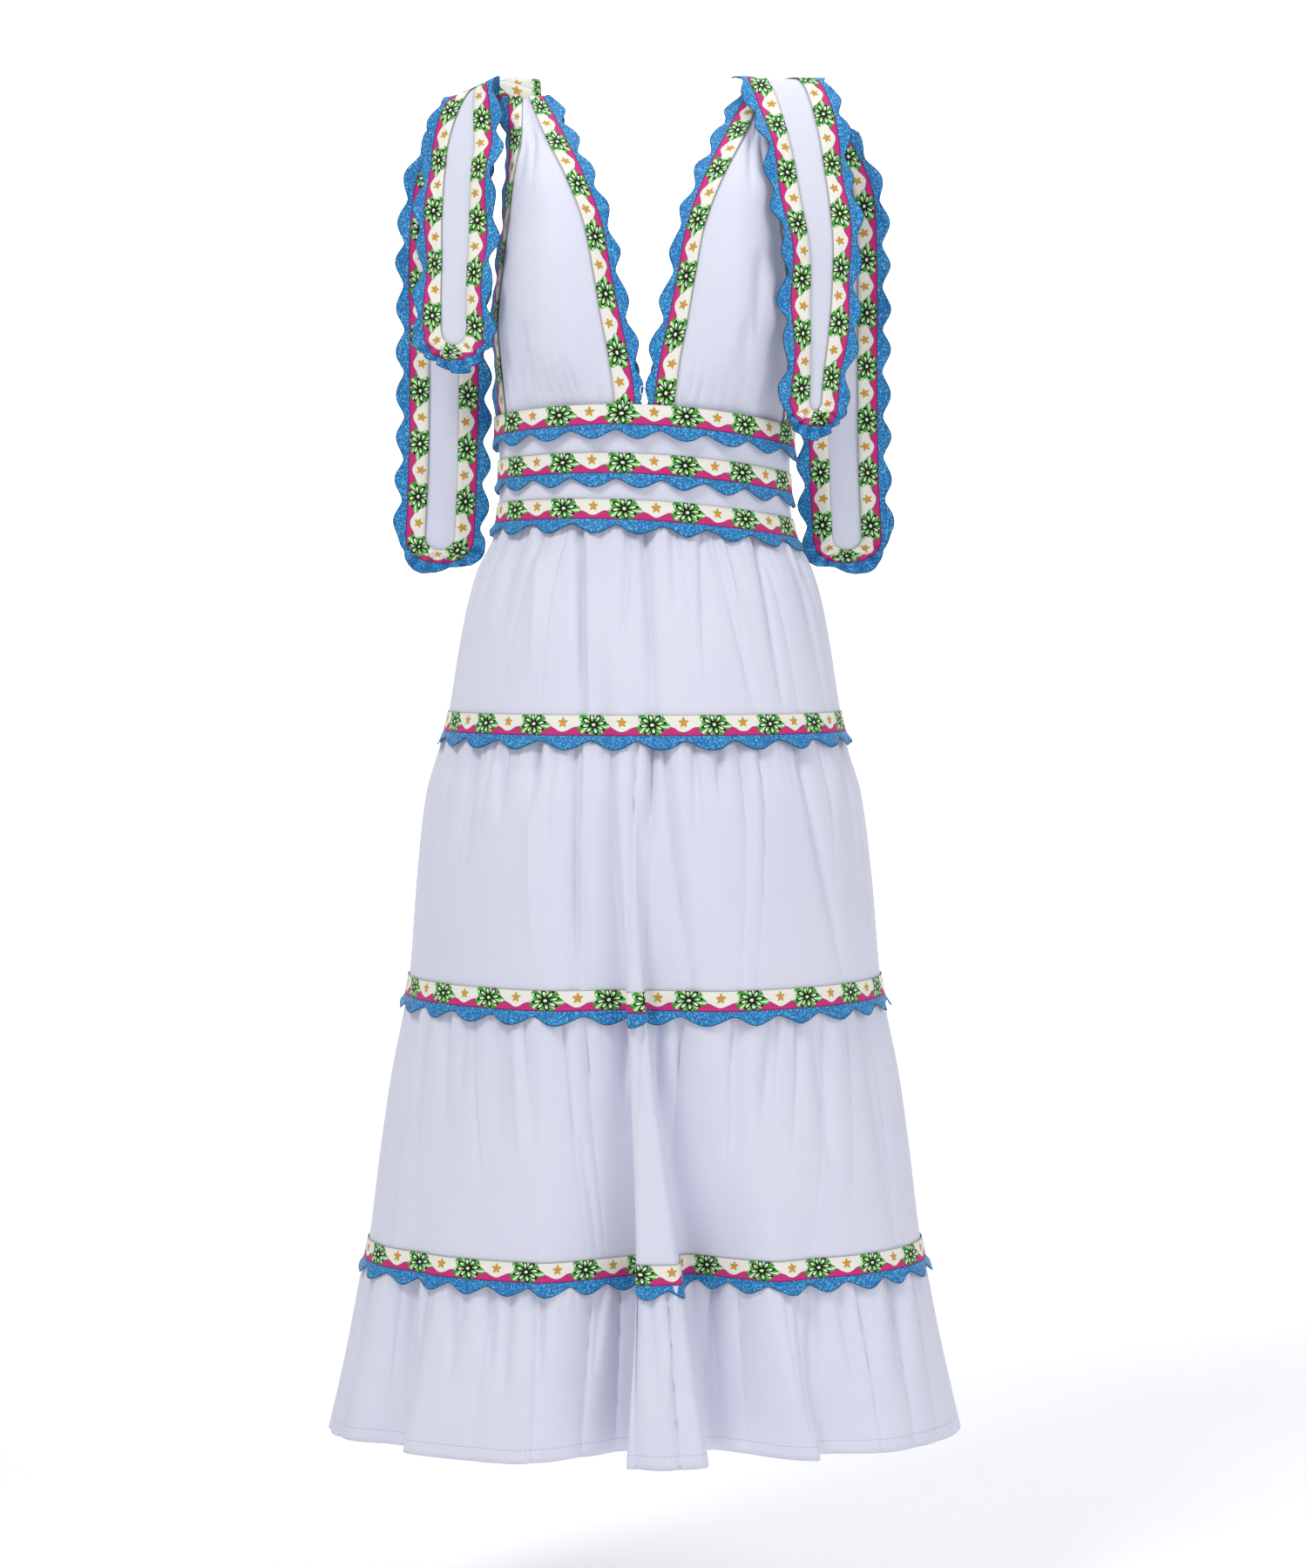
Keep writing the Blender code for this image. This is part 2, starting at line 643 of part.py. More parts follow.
def build_knot(knot, collection):
    """A knot, as one rounded bundle of cloth."""
    mesh = bpy.data.meshes.new(knot.name)
    form = bmesh.new()
    bmesh.ops.create_cone(
        form,
        cap_ends=True,
        segments=KNOT_SEGMENTS,
        radius1=1.0,
        radius2=1.0,
        depth=2 * KNOT_HALF_DEPTH,
    )
    for vert in form.verts:
        across, up, depth = vert.co
        vert.co = (knot.x + across * knot.half_width, -depth, knot.z + up * knot.half_height)
    form.to_mesh(mesh)
    form.free()
    obj = add_object(knot.name, mesh, TRIM, collection)
    rounding = obj.modifiers.new("Rounding", "BEVEL")
    rounding.width = KNOT_ROUNDING
    rounding.segments = 2
    rounding.limit_method = "ANGLE"
    rounding.angle_limit = math.radians(60.0)


class Tie:
    """The middle line of a tie end, with a flat pattern laid along it: s down its length, w across it."""

    def __init__(self, rows):
        self.rows = rows
        self.points = [Vector((row.x, row.y, row.z)) for row in rows]
        self.lengths = [0.0]
        for a, b in zip(self.points, self.points[1:]):
            self.lengths.append(self.lengths[-1] + (b - a).length)
        self.length = self.lengths[-1]

    def place(self, s):
        """Index and share of the stretch that holds the distance s, running on past the last point."""
        i = 0
        while i < len(self.rows) - 2 and self.lengths[i + 1] < s:
            i += 1
        return i, (s - self.lengths[i]) / (self.lengths[i + 1] - self.lengths[i])

    def half_width(self, s):
        i, share = self.place(s)
        share = min(1.0, share)
        return self.rows[i].half_width * (1 - share) + self.rows[i + 1].half_width * share

    def frame(self, s):
        """Middle point and direction across, smoothed over the rows' corners."""
        i, share = self.place(s)
        a, b = self.points[i], self.points[i + 1]
        before = self.points[max(0, i - 1)]
        after = self.points[min(len(self.points) - 1, i + 2)]
        t = min(1.0, share)
        start = (b - before) * 0.5
        end = (after - a) * 0.5
        middle = (
            a * (2 * t**3 - 3 * t**2 + 1)
            + start * (t**3 - 2 * t**2 + t)
            + b * (3 * t**2 - 2 * t**3)
            + end * (t**3 - t**2)
        )
        down = (start.lerp(end, t)).normalized()
        if share > 1.0:
            middle += down * (share - 1.0) * (b - a).length
        turn = self.rows[i].turn * (1 - t) + self.rows[i + 1].turn * t
        across = Vector((math.cos(math.radians(turn)), math.sin(math.radians(turn)), 0.0))
        return middle, (across - down * across.dot(down)).normalized()

    def at(self, s, w):
        middle, across = self.frame(s)
        return middle + across * w


def tie_outline(tie):
    """Stations down one side of a tie, round its end and up the other, in the flat pattern.

    Each is its edge point, as s and w, and its point on the ribbon's inner line.
    """
    radius = tie.rows[-1].half_width
    straight = tie.length - radius
    count = max(2, round(straight / TIE_SCALLOP))
    left = []
    for share in (0.0, 0.5, *range(1, count + 1)):
        s = straight * share / count
        half = tie.half_width(s)
        left.append((s, -half, s, min(RIBBON_WIDTH, TIE_RIBBON_SHARE * half) - half))
    end = []
    for k in range(1, TIE_END_SCALLOPS):
        turn = math.pi * k / TIE_END_SCALLOPS
        down, across = math.sin(turn), -math.cos(turn)
        inner = radius - min(RIBBON_WIDTH, TIE_RIBBON_SHARE * radius)
        end.append((straight + radius * down, radius * across, straight + inner * down, inner * across))
    right = [(s, -w, inner_s, -inner_w) for s, w, inner_s, inner_w in reversed(left)]
    return left + end + right


def build_tie(name, rows, collection):
    """A tie end: a panel with a rounded foot, and a trim round its edge from its third station on."""
    tie = Tie(rows)
    stations = tie_outline(tie)
    count = len(stations)
    half = count // 2
    points = [tie.at(s, w) for s, w, _, _ in stations]
    points += [tie.at(s, w) for _, _, s, w in stations]
    points += [tie.at(s, 0.0) for _, _, s, _ in stations[: half - 1]]
    faces = strip_triangles(2, count, False, True)
    for k in range(half - 1):
        left, right, middle = count + k, 2 * count - 1 - k, 2 * count + k
        below = middle + 1 if k < half - 2 else right - 1
        faces.append((left, left + 1, below))
        faces.append((left, below, middle))
        if k < half - 2:
            faces.append((middle, below, right - 1))
        faces.append((middle, right - 1, right))
    add_cloth(f"{name}_panel", points, faces, COTTON, collection)
    moved = lifted(points, faces, TRIM_GAP)
    trimmed = slice(TIE_TRIM_START, count - TIE_TRIM_START)
    add_edge_trim(f"{name}_trim", [moved[:count][trimmed], moved[count:][trimmed]], False, True, collection)


def main():
    clear_scene()
    collection = bpy.data.collections.new("midi_dress")
    bpy.context.scene.collection.children.link(collection)
    build_bodice(collection)
    build_waist(collection)
    build_skirt(collection)
    for knot in KNOTS:
        build_knot(knot, collection)
    for name, rows in TIES.items():
        build_tie(name, rows, collection)


main()
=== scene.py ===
import math
from collections import namedtuple
from functools import partial

import bpy
import numpy as np
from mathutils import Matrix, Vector


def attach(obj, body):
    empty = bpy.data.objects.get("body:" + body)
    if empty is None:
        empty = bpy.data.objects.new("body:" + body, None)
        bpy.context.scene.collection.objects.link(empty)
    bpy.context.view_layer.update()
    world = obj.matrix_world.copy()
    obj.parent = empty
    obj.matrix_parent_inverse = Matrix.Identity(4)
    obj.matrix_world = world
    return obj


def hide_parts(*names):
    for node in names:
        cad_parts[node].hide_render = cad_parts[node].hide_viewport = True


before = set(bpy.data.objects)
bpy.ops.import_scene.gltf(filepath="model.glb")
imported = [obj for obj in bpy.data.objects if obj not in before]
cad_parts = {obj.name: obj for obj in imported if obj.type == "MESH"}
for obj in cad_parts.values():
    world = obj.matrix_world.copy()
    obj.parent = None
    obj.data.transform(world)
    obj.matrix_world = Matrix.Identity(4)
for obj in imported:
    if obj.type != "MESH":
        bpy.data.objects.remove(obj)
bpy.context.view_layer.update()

# The dress's own form, as in its solids: metres, +Z up, the dress facing -Y, the origin between the shoulders.

RIBBON_WIDTH = 0.0180
SCALLOP_NOTCH = 0.0050
SCALLOP_CREST = 0.0130
TRIM_GAP = 0.0008
TRIM_THICKNESS = 0.0008
TUCK_INSET = 0.0018
TUCK_RISE = 0.0060
HEM_Z = -1.2136
HEM_FOLD = 0.0120
SIDE_ANGLE = 90.0
ARMHOLE_ANGLE = 78.0
BODICE_OVERLAP = 0.0100
SEAM_ALLOWANCE = 0.0100
TRIM_STRIP = 0.0320
WAIST_OVER_BODICE = 0.0020

Level = namedtuple("Level", "z half_width front_depth back_depth")
LEVELS = (
    Level(-0.2550, 0.1350, 0.1085, 0.0930),
    Level(-0.2890, 0.1345, 0.1050, 0.0900),
    Level(-0.3300, 0.1328, 0.1010, 0.0860),
    Level(-0.3700, 0.1340, 0.1000, 0.0850),
    Level(-0.3950, 0.1385, 0.1040, 0.0890),
    Level(-0.4200, 0.1515, 0.1170, 0.1010),
    Level(-0.4510, 0.1615, 0.1300, 0.1130),
    Level(-0.4920, 0.1700, 0.1410, 0.1250),
    Level(-0.5450, 0.1785, 0.1520, 0.1370),
    Level(-0.5850, 0.1855, 0.1590, 0.1440),
    Level(-0.6270, 0.1985, 0.1710, 0.1560),
    Level(-0.6980, 0.2085, 0.1770, 0.1640),
    Level(-0.7800, 0.2155, 0.1790, 0.1680),
    Level(-0.8250, 0.2205, 0.1780, 0.1690),
    Level(-0.8820, 0.2325, 0.1740, 0.1690),
    Level(-0.9520, 0.2435, 0.1670, 0.1650),
    Level(-1.0300, 0.2535, 0.1560, 0.1580),
    Level(-1.0700, 0.2600, 0.1540, 0.1570),
    Level(-1.1330, 0.2735, 0.1640, 0.1670),
    Level(-1.2136, 0.2925, 0.1720, 0.1800),
)

# Large folds down the skirt, in degrees from the centre front towards +X. Depth is inwards, and lean carries the
# bottom of a fold sideways, under the lobe beside it.
FoldLevel = namedtuple("FoldLevel", "z angle half_angle depth lean")
FOLDS = {
    "front left groove": (
        FoldLevel(-0.40, -22.0, 12.0, 0.000, 0.0),
        FoldLevel(-0.56, -16.8, 11.0, 0.007, 3.0),
        FoldLevel(-0.80, -13.4, 11.0, 0.024, 8.0),
        FoldLevel(-1.05, -11.0, 10.5, 0.052, 10.0),
        FoldLevel(-1.2136, -12.5, 10.5, 0.066, 10.0),
    ),
    "front right groove": (
        FoldLevel(-0.40, 1.0, 12.0, 0.000, 0.0),
        FoldLevel(-0.56, 4.3, 11.0, 0.006, -3.0),
        FoldLevel(-0.80, 9.4, 11.0, 0.022, -8.0),
        FoldLevel(-1.05, 17.0, 11.5, 0.056, -7.0),
        FoldLevel(-1.2136, 20.6, 11.0, 0.064, -7.0),
    ),
    "front centre lobe": (
        FoldLevel(-0.80, -2.0, 12.0, 0.000, 0.0),
        FoldLevel(-1.05, 2.0, 13.0, 0.000, 0.0),
        FoldLevel(-1.2136, 4.0, 14.0, -0.010, 0.0),
    ),
    "left side fold": (
        FoldLevel(-0.95, -56.0, 12.0, 0.000, 0.0),
        FoldLevel(-1.07, -56.0, 12.0, 0.006, 2.0),
        FoldLevel(-1.2136, -58.0, 12.0, 0.022, 5.0),
    ),
    "right side fold": (
        FoldLevel(-0.95, 38.0, 10.0, 0.000, 0.0),
        FoldLevel(-1.07, 39.0, 10.0, 0.006, -2.0),
        FoldLevel(-1.2136, 40.0, 9.0, 0.022, -5.0),
    ),
    "back left groove": (
        FoldLevel(-0.42, -150.0, 14.0, 0.000, 0.0),
        FoldLevel(-0.80, -156.0, 13.0, 0.018, -5.0),
        FoldLevel(-1.2136, -160.0, 12.0, 0.050, -7.0),
    ),
    "back right groove": (
        FoldLevel(-0.42, 158.0, 14.0, 0.000, 0.0),
        FoldLevel(-0.80, 152.0, 13.0, 0.020, 5.0),
        FoldLevel(-1.2136, 147.0, 12.0, 0.054, 7.0),
    ),
    "back side fold": (
        FoldLevel(-0.85, 118.0, 12.0, 0.000, 0.0),
        FoldLevel(-1.2136, 116.0, 12.0, 0.026, 3.0),
    ),
}

WaistTrim = namedtuple("WaistTrim", "name z rise tilt flare scallops")
WAIST_TRIMS = (
    WaistTrim("waist_trim_1", -0.2890, 0.0110, 0.0050, 0.0030, 18),
    WaistTrim("waist_trim_2", -0.3294, 0.0083, 0.0062, 0.0030, 18),
    WaistTrim("waist_trim_3", -0.3696, 0.0073, 0.0072, 0.0052, 18),
)

# The four tiers: their trims, the gathers of each half, and how deep and how long the gathers are
Tier = namedtuple("Tier", "name trim_z scallops gathers depth reach seed columns flat")
TIERS = (
    Tier("skirt_tier_1", -0.5520, 24, 17, 0.0044, 0.085, 11, 420, (0.60, 0.20)),
    Tier("skirt_tier_2", -0.7930, 30, 20, 0.0052, 0.095, 23, 490, (0.72, 0.26)),
    Tier("skirt_tier_3", -1.0370, 40, 22, 0.0058, 0.100, 37, 560, (0.86, 0.265)),
    Tier("skirt_tier_4", None, 0, 25, 0.0078, 0.130, 41, 620, (0.98, 0.185)),
)

PanelRow = namedtuple("PanelRow", "z neck_x arm_x neck_depth full_depth arm_depth")
FRONT_PANEL = (
    PanelRow(-0.2350, 0.0150, 0.1330, 0.1070, 0.1160, 0.0260),
    PanelRow(-0.2000, 0.0230, 0.1350, 0.1080, 0.1220, 0.0400),
    PanelRow(-0.1600, 0.0310, 0.1310, 0.1040, 0.1210, 0.0460),
    PanelRow(-0.1180, 0.0390, 0.1260, 0.0970, 0.1110, 0.0470),
    PanelRow(-0.0760, 0.0540, 0.1220, 0.0840, 0.0930, 0.0490),
    PanelRow(-0.0370, 0.0720, 0.1200, 0.0560, 0.0610, 0.0400),
    PanelRow(0.0040, 0.0920, 0.1240, 0.0175, 0.0175, 0.0175),
)
BACK_PANEL = (
    PanelRow(-0.2350, 0.0180, 0.1290, 0.0940, 0.0980, 0.0340),
    PanelRow(-0.2000, 0.0270, 0.1270, 0.0970, 0.1010, 0.0430),
    PanelRow(-0.1600, 0.0360, 0.1240, 0.1000, 0.1040, 0.0470),
    PanelRow(-0.1180, 0.0460, 0.1210, 0.0980, 0.1020, 0.0480),
    PanelRow(-0.0760, 0.0610, 0.1190, 0.0900, 0.0940, 0.0460),
    PanelRow(-0.0370, 0.0770, 0.1180, 0.0600, 0.0640, 0.0420),
    PanelRow(0.0040, 0.0920, 0.1240, 0.0175, 0.0175, 0.0175),
)
V_FOOT_HALF_WIDTH = 0.0085
FULLEST_AT = 0.45
ABOVE_WAIST_TRIM = 0.0040
FOOT_REACH = LEVELS[1].half_width * math.sin(math.radians(ARMHOLE_ANGLE))
MOST_RIBBON_SHARE = 0.42

Knot = namedtuple("Knot", "name x z half_width half_height")
KNOTS = (
    Knot("shoulder_knot_left", -0.1160, 0.0090, 0.0235, 0.0165),
    Knot("shoulder_knot_right", 0.1120, 0.0030, 0.0220, 0.0165),
)
KNOT_HALF_DEPTH = 0.0160

TieRow = namedtuple("TieRow", "x y z half_width turn")
TIES = {
    "tie_front_left": (
        TieRow(-0.1424, -0.0104, 0.0090, 0.0075, -85.0),
        TieRow(-0.1500, -0.0210, 0.0130, 0.0130, -62.0),
        TieRow(-0.1580, -0.0340, 0.0000, 0.0240, -38.0),
        TieRow(-0.1650, -0.0490, -0.0450, 0.0330, -33.0),
        TieRow(-0.1685, -0.0600, -0.1100, 0.0330, -33.0),
        TieRow(-0.1700, -0.0640, -0.1700, 0.0320, -32.0),
        TieRow(-0.1700, -0.0640, -0.2360, 0.0310, -30.0),
    ),
    "tie_back_left": (
        TieRow(-0.1413, 0.0055, 0.0088, 0.0070, -90.0),
        TieRow(-0.1500, 0.0100, -0.0120, 0.0140, -55.0),
        TieRow(-0.1680, 0.0140, -0.0380, 0.0260, -20.0),
        TieRow(-0.1810, 0.0150, -0.0800, 0.0310, -5.0),
        TieRow(-0.1845, 0.0150, -0.1400, 0.0315, 0.0),
        TieRow(-0.1845, 0.0180, -0.2200, 0.0315, 0.0),
        TieRow(-0.1860, 0.0260, -0.3200, 0.0315, 0.0),
        TieRow(-0.1910, 0.0320, -0.4160, 0.0315, 0.0),
    ),
    "tie_front_right": (
        TieRow(0.1180, 0.0120, 0.0236, 0.0280, 0.0),
        TieRow(0.1220, -0.0120, 0.0214, 0.0310, 3.0),
        TieRow(0.1260, -0.0260, 0.0165, 0.0330, 8.0),
        TieRow(0.1330, -0.0400, 0.0010, 0.0330, 14.0),
        TieRow(0.1430, -0.0600, -0.0420, 0.0330, 20.0),
        TieRow(0.1510, -0.0770, -0.0920, 0.0320, 24.0),
        TieRow(0.1570, -0.0830, -0.1450, 0.0300, 26.0),
        TieRow(0.1560, -0.0830, -0.2000, 0.0280, 26.0),
        TieRow(0.1535, -0.0800, -0.2480, 0.0250, 26.0),
        TieRow(0.1510, -0.0780, -0.2960, 0.0230, 26.0),
    ),
    "tie_back_right": (
        TieRow(0.1356, 0.0060, 0.0040, 0.0080, 90.0),
        TieRow(0.1450, 0.0100, -0.0120, 0.0140, 55.0),
        TieRow(0.1650, 0.0140, -0.0380, 0.0260, 20.0),
        TieRow(0.1780, 0.0150, -0.0800, 0.0310, 5.0),
        TieRow(0.1815, 0.0150, -0.1400, 0.0315, 0.0),
        TieRow(0.1820, 0.0180, -0.2200, 0.0315, 0.0),
        TieRow(0.1835, 0.0260, -0.3200, 0.0315, 0.0),
        TieRow(0.1885, 0.0320, -0.4160, 0.0315, 0.0),
    ),
}

# Colours, as seen, from 0 to 255
COTTON = (226, 227, 240)
COTTON_SHADED = (214, 216, 232)
BLUE = (46, 156, 214)
BLUE_LIGHT = (112, 200, 236)
BLUE_DARK = (22, 104, 172)
BLUE_RIM = (18, 70, 104)
PINK = (204, 44, 122)
PINK_DARK = (150, 24, 90)
CREAM = (240, 238, 226)
LEAF = (120, 210, 66)
LEAF_DARK = (62, 158, 52)
LEAF_RIM = (40, 90, 30)
GOLD = (208, 156, 52)
GOLD_RIM = (150, 105, 30)
INK = (14, 16, 14)
PETAL = (232, 242, 224)
DUSK = (92, 30, 90)

# The print, in metres
PRINT_REPEAT = 0.0560
PRINT_REPEAT_EDGE = 0.0520
FLOWER_V = 0.0084
STAR_V = 0.0066
PINK_LEAST = 0.0030
PINK_RISE = 0.0044
PINK_DIP = 0.0120
PETALS = 8
PETAL_MIDDLE = 0.0056
PETAL_HALF_LENGTH = 0.0031
PETAL_HALF_WIDTH = 0.00135


# Materials


def linear(colour):
    """A seen colour from 0 to 255 as the linear values that a shader takes."""
    values = [channel / 255 for channel in colour]
    values = [v / 12.92 if v <= 0.04045 else ((v + 0.055) / 1.055) ** 2.4 for v in values]
    return (*values, 1.0)


class Value:
    """A shader socket that takes part in sums, so that a pattern reads as its formula."""

    def __init__(self, tree, socket):
        self.tree = tree
        self.socket = socket

    def call(self, operation, *others):
        node = self.tree.nodes.new("ShaderNodeMath")
        node.operation = operation
        for k, value in enumerate((self, *others)):
            if isinstance(value, Value):
                self.tree.links.new(value.socket, node.inputs[k])
            else:
                node.inputs[k].default_value = value
        return Value(self.tree, node.outputs[0])

    def __add__(self, other):
        return self.call("ADD", other)

    def __sub__(self, other):
        return self.call("SUBTRACT", other)

    def __mul__(self, other):
        return self.call("MULTIPLY", other)

    def __truediv__(self, other):
        return self.call("DIVIDE", other)

    def power(self, exponent):
        return self.call("POWER", exponent)

    def absolute(self):
        return self.call("ABSOLUTE")

    def sine(self):
        return self.call("SINE")

    def cosine(self):
        return self.call("COSINE")

    def below(self, other):
        return self.call("LESS_THAN", other)

    def above(self, other):
        return self.call("GREATER_THAN", other)

    def wrapped(self, period):
        """The value taken into the span from minus half a period to half a period."""
        return self.call("WRAP", period / 2, -period / 2)

    def length_with(self, other):
        return (self * self + other * other).call("SQRT")

    def angle_with(self, across):
        return self.call("ARCTAN2", across)


def mixed(tree, factor, first, second):
    """The first colour where factor is 0 and the second where it is 1."""
    node = tree.nodes.new("ShaderNodeMix")
    node.data_type = "RGBA"
    if isinstance(factor, Value):
        tree.links.new(factor.socket, node.inputs["Factor"])
    else:
        node.inputs["Factor"].default_value = factor
    for socket, colour in ((node.inputs[6], first), (node.inputs[7], second)):
        if isinstance(colour, tuple):
            socket.default_value = linear(colour)
        else:
            tree.links.new(colour, socket)
    return node.outputs[2]


def new_material(name, roughness, sheen=0.0, specular=0.3):
    made = bpy.data.materials.new(name)
    made.use_nodes = True
    shader = made.node_tree.nodes["Principled BSDF"]
    shader.inputs["Roughness"].default_value = roughness
    shader.inputs["Sheen Weight"].default_value = sheen
    shader.inputs["Sheen Roughness"].default_value = 0.5
    shader.inputs["Specular IOR Level"].default_value = specular
    return made, made.node_tree, shader


def noise(tree, scale, detail=2.0, coordinates=None):
    """Noise on the object's own coordinates, in metres, as its value socket."""
    node = tree.nodes.new("ShaderNodeTexNoise")
    node.inputs["Scale"].default_value = scale
    node.inputs["Detail"].default_value = detail
    if coordinates is None:
        coordinates = tree.nodes.new("ShaderNodeTexCoord").outputs["Object"]
    tree.links.new(coordinates, node.inputs["Vector"])
    return Value(tree, node.outputs["Fac"])


def bump(tree, shader, layers):
    """Adds the bumps one on another. Each layer is a height, its depth in metres and its strength."""
    normal = None
    for height, depth, strength in layers:
        node = tree.nodes.new("ShaderNodeBump")
        node.inputs["Strength"].default_value = strength
        node.inputs["Distance"].default_value = depth
        tree.links.new(height.socket, node.inputs["Height"])
        if normal is not None:
            tree.links.new(normal, node.inputs["Normal"])
        normal = node.outputs["Normal"]
    tree.links.new(normal, shader.inputs["Normal"])


def uv_values(tree):
    """The cloth's own coordinates in metres: along it and across it."""
    node = tree.nodes.new("ShaderNodeUVMap")
    node.uv_map = "cloth"
    split = tree.nodes.new("ShaderNodeSeparateXYZ")
    tree.links.new(node.outputs["UV"], split.inputs[0])
    return node.outputs["UV"], Value(tree, split.outputs["X"]), Value(tree, split.outputs["Y"])


def weave(tree, u, v, pitch):
    """The height of a plain weave: one set of threads over and under the other."""
    turns = 2 * math.pi / pitch
    return ((u * turns).sine() + (v * turns).sine()) * 0.25 + 0.5


def cotton_material(name, hem=False):
    """White poplin: a fine weave, faint slubs, soft creasing and a slightly uneven white."""
    made, tree, shader = new_material(name, 0.78, sheen=0.12, specular=0.22)
    _, u, v = uv_values(tree)
    cloudy = noise(tree, 9.0, 3.0)
    slub = noise(tree, 900.0, 1.0)
    colour = mixed(tree, cloudy, COTTON_SHADED, COTTON)
    colour = mixed(tree, (slub - 0.5) * 0.25 + 0.1, colour, (240, 241, 248))
    if hem:
        up = v.absolute()
        dash = ((u * (2 * math.pi / 0.0042)).sine()).above(-0.35)
        stitch = (up - HEM_FOLD).absolute().below(0.00045) * dash
        colour = mixed(tree, stitch * 0.55, colour, (160, 162, 178))
    tree.links.new(colour, shader.inputs["Base Color"])
    wrinkles = noise(tree, 42.0, 4.0)
    fine = noise(tree, 160.0, 3.0)
    layers = [(wrinkles, 0.0016, 0.16), (fine, 0.0005, 0.14), (weave(tree, u, v, 0.0007), 0.0001, 0.10)]
    bump(tree, shader, layers)
    return made


def print_material(name, repeat):
    """The border ribbon: daisies in leaves and small stars on cream, over a wavy pink edge."""
    made, tree, shader = new_material(name, 0.72, sheen=0.08, specular=0.25)
    _, u, v = uv_values(tree)
    wobble_u = (noise(tree, 150.0, 1.0) - 0.5) * 0.0016
    wobble_v = (noise(tree, 130.0, 1.0) - 0.5) * 0.0016
    along = (u + wobble_u).wrapped(repeat)
    from_star = (u + wobble_u + repeat / 2).wrapped(repeat)
    across = v + wobble_v

    # The ground, and the pink edge, which is low only under a star
    hump = (from_star * (math.pi / PINK_DIP)).cosine() * -0.5 + 0.5
    beyond = from_star.absolute().above(PINK_DIP)
    hump = hump.call("MAXIMUM", beyond)
    pink_top = hump * -PINK_RISE + (RIBBON_WIDTH - PINK_LEAST)
    colour = mixed(tree, across.above(pink_top), CREAM, PINK)
    colour = mixed(tree, (across - pink_top).absolute().below(0.0003) * 0.7, colour, PINK_DARK)

    # A star halfway between two flowers
    y = across - STAR_V
    point = 2 * math.pi / 5
    turn = (from_star.angle_with(y * -1.0) + point / 2).wrapped(point).absolute() / (point / 2)
    edge = turn.power(1.15) * 0.0026 + 0.0021
    distance = from_star.length_with(y)
    colour = mixed(tree, distance.below(edge), colour, GOLD)
    colour = mixed(tree, (distance - edge).absolute().below(0.0002) * 0.5, colour, GOLD_RIM)

    # Leaves behind each flower, with darker veins
    x = along * 0.78
    y = across - FLOWER_V
    distance = x.length_with(y)
    turn = y.angle_with(x)
    lobes = (turn * 5.0 + 0.9).sine() * 0.0015 + (turn * 9.0).sine() * 0.0006
    edge = lobes + 0.0108
    vein = (turn * 11.0 + distance * 260.0).sine()
    leaves = mixed(tree, vein.above(0.10), LEAF, LEAF_DARK)
    leaves = mixed(tree, vein.below(-0.80), leaves, PETAL)
    colour = mixed(tree, distance.below(edge), colour, leaves)
    colour = mixed(tree, (distance - edge).absolute().below(0.00025) * 0.7, colour, LEAF_RIM)

    # Eight narrow petals in a thick black outline round a small centre
    turned = (turn + 0.2).wrapped(2 * math.pi / PETALS)
    beside = distance * turned.sine() / PETAL_HALF_WIDTH
    out = (distance * turned.cosine() - PETAL_MIDDLE) / PETAL_HALF_LENGTH
    petal = beside.length_with(out)
    colour = mixed(tree, petal.below(1.38), colour, INK)
    filled = mixed(tree, out.below(-0.15), PETAL, LEAF)
    colour = mixed(tree, petal.below(0.74), colour, filled)
    colour = mixed(tree, distance.below(0.0024), colour, INK)
    colour = mixed(tree, distance.below(0.0013), colour, PETAL)

    # The turned edges along the ribbon's two sides
    colour = mixed(tree, v.below(0.0004) * 0.6, colour, (70, 84, 60))
    colour = mixed(tree, v.above(RIBBON_WIDTH - 0.0006) * 0.9, colour, DUSK)
    tree.links.new(colour, shader.inputs["Base Color"])
    layers = [(noise(tree, 90.0, 3.0), 0.0010, 0.20), (weave(tree, u, v, 0.0008), 0.0001, 0.12)]
    bump(tree, shader, layers)
    return made


def edging_material(name):
    """The scalloped edging: a dense looped blue pile with a darker bound rim."""
    made, tree, shader = new_material(name, 0.60, sheen=0.10, specular=0.35)
    _, _, v = uv_values(tree)
    loops = noise(tree, 640.0, 2.0)
    patches = noise(tree, 60.0, 2.0)
    colour = mixed(tree, (loops - 0.44) * 5.0, BLUE_DARK, BLUE)
    colour = mixed(tree, (loops - 0.53) * 6.0, colour, BLUE_LIGHT)
    colour = mixed(tree, (patches - 0.45) * 0.8, colour, BLUE_DARK)
    rim = tree.nodes.new("ShaderNodeAttribute")
    rim.attribute_name = "from_rim"
    from_rim = Value(tree, rim.outputs["Fac"])
    colour = mixed(tree, from_rim.below(0.00075) * 0.85, colour, BLUE_RIM)
    colour = mixed(tree, v.below(RIBBON_WIDTH + 0.0004), colour, DUSK)
    tree.links.new(colour, shader.inputs["Base Color"])
    bump(tree, shader, [(loops, 0.0007, 0.55), (noise(tree, 120.0, 2.0), 0.0010, 0.2)])
    return made


def thread_material(name):
    made, tree, shader = new_material(name, 0.6, sheen=0.1)
    colour = mixed(tree, noise(tree, 2500.0, 1.0), (205, 207, 220), (236, 237, 244))
    tree.links.new(colour, shader.inputs["Base Color"])
    bump(tree, shader, [(noise(tree, 3000.0, 1.0), 0.0002, 0.5)])
    return made


# Cloth as grids of points


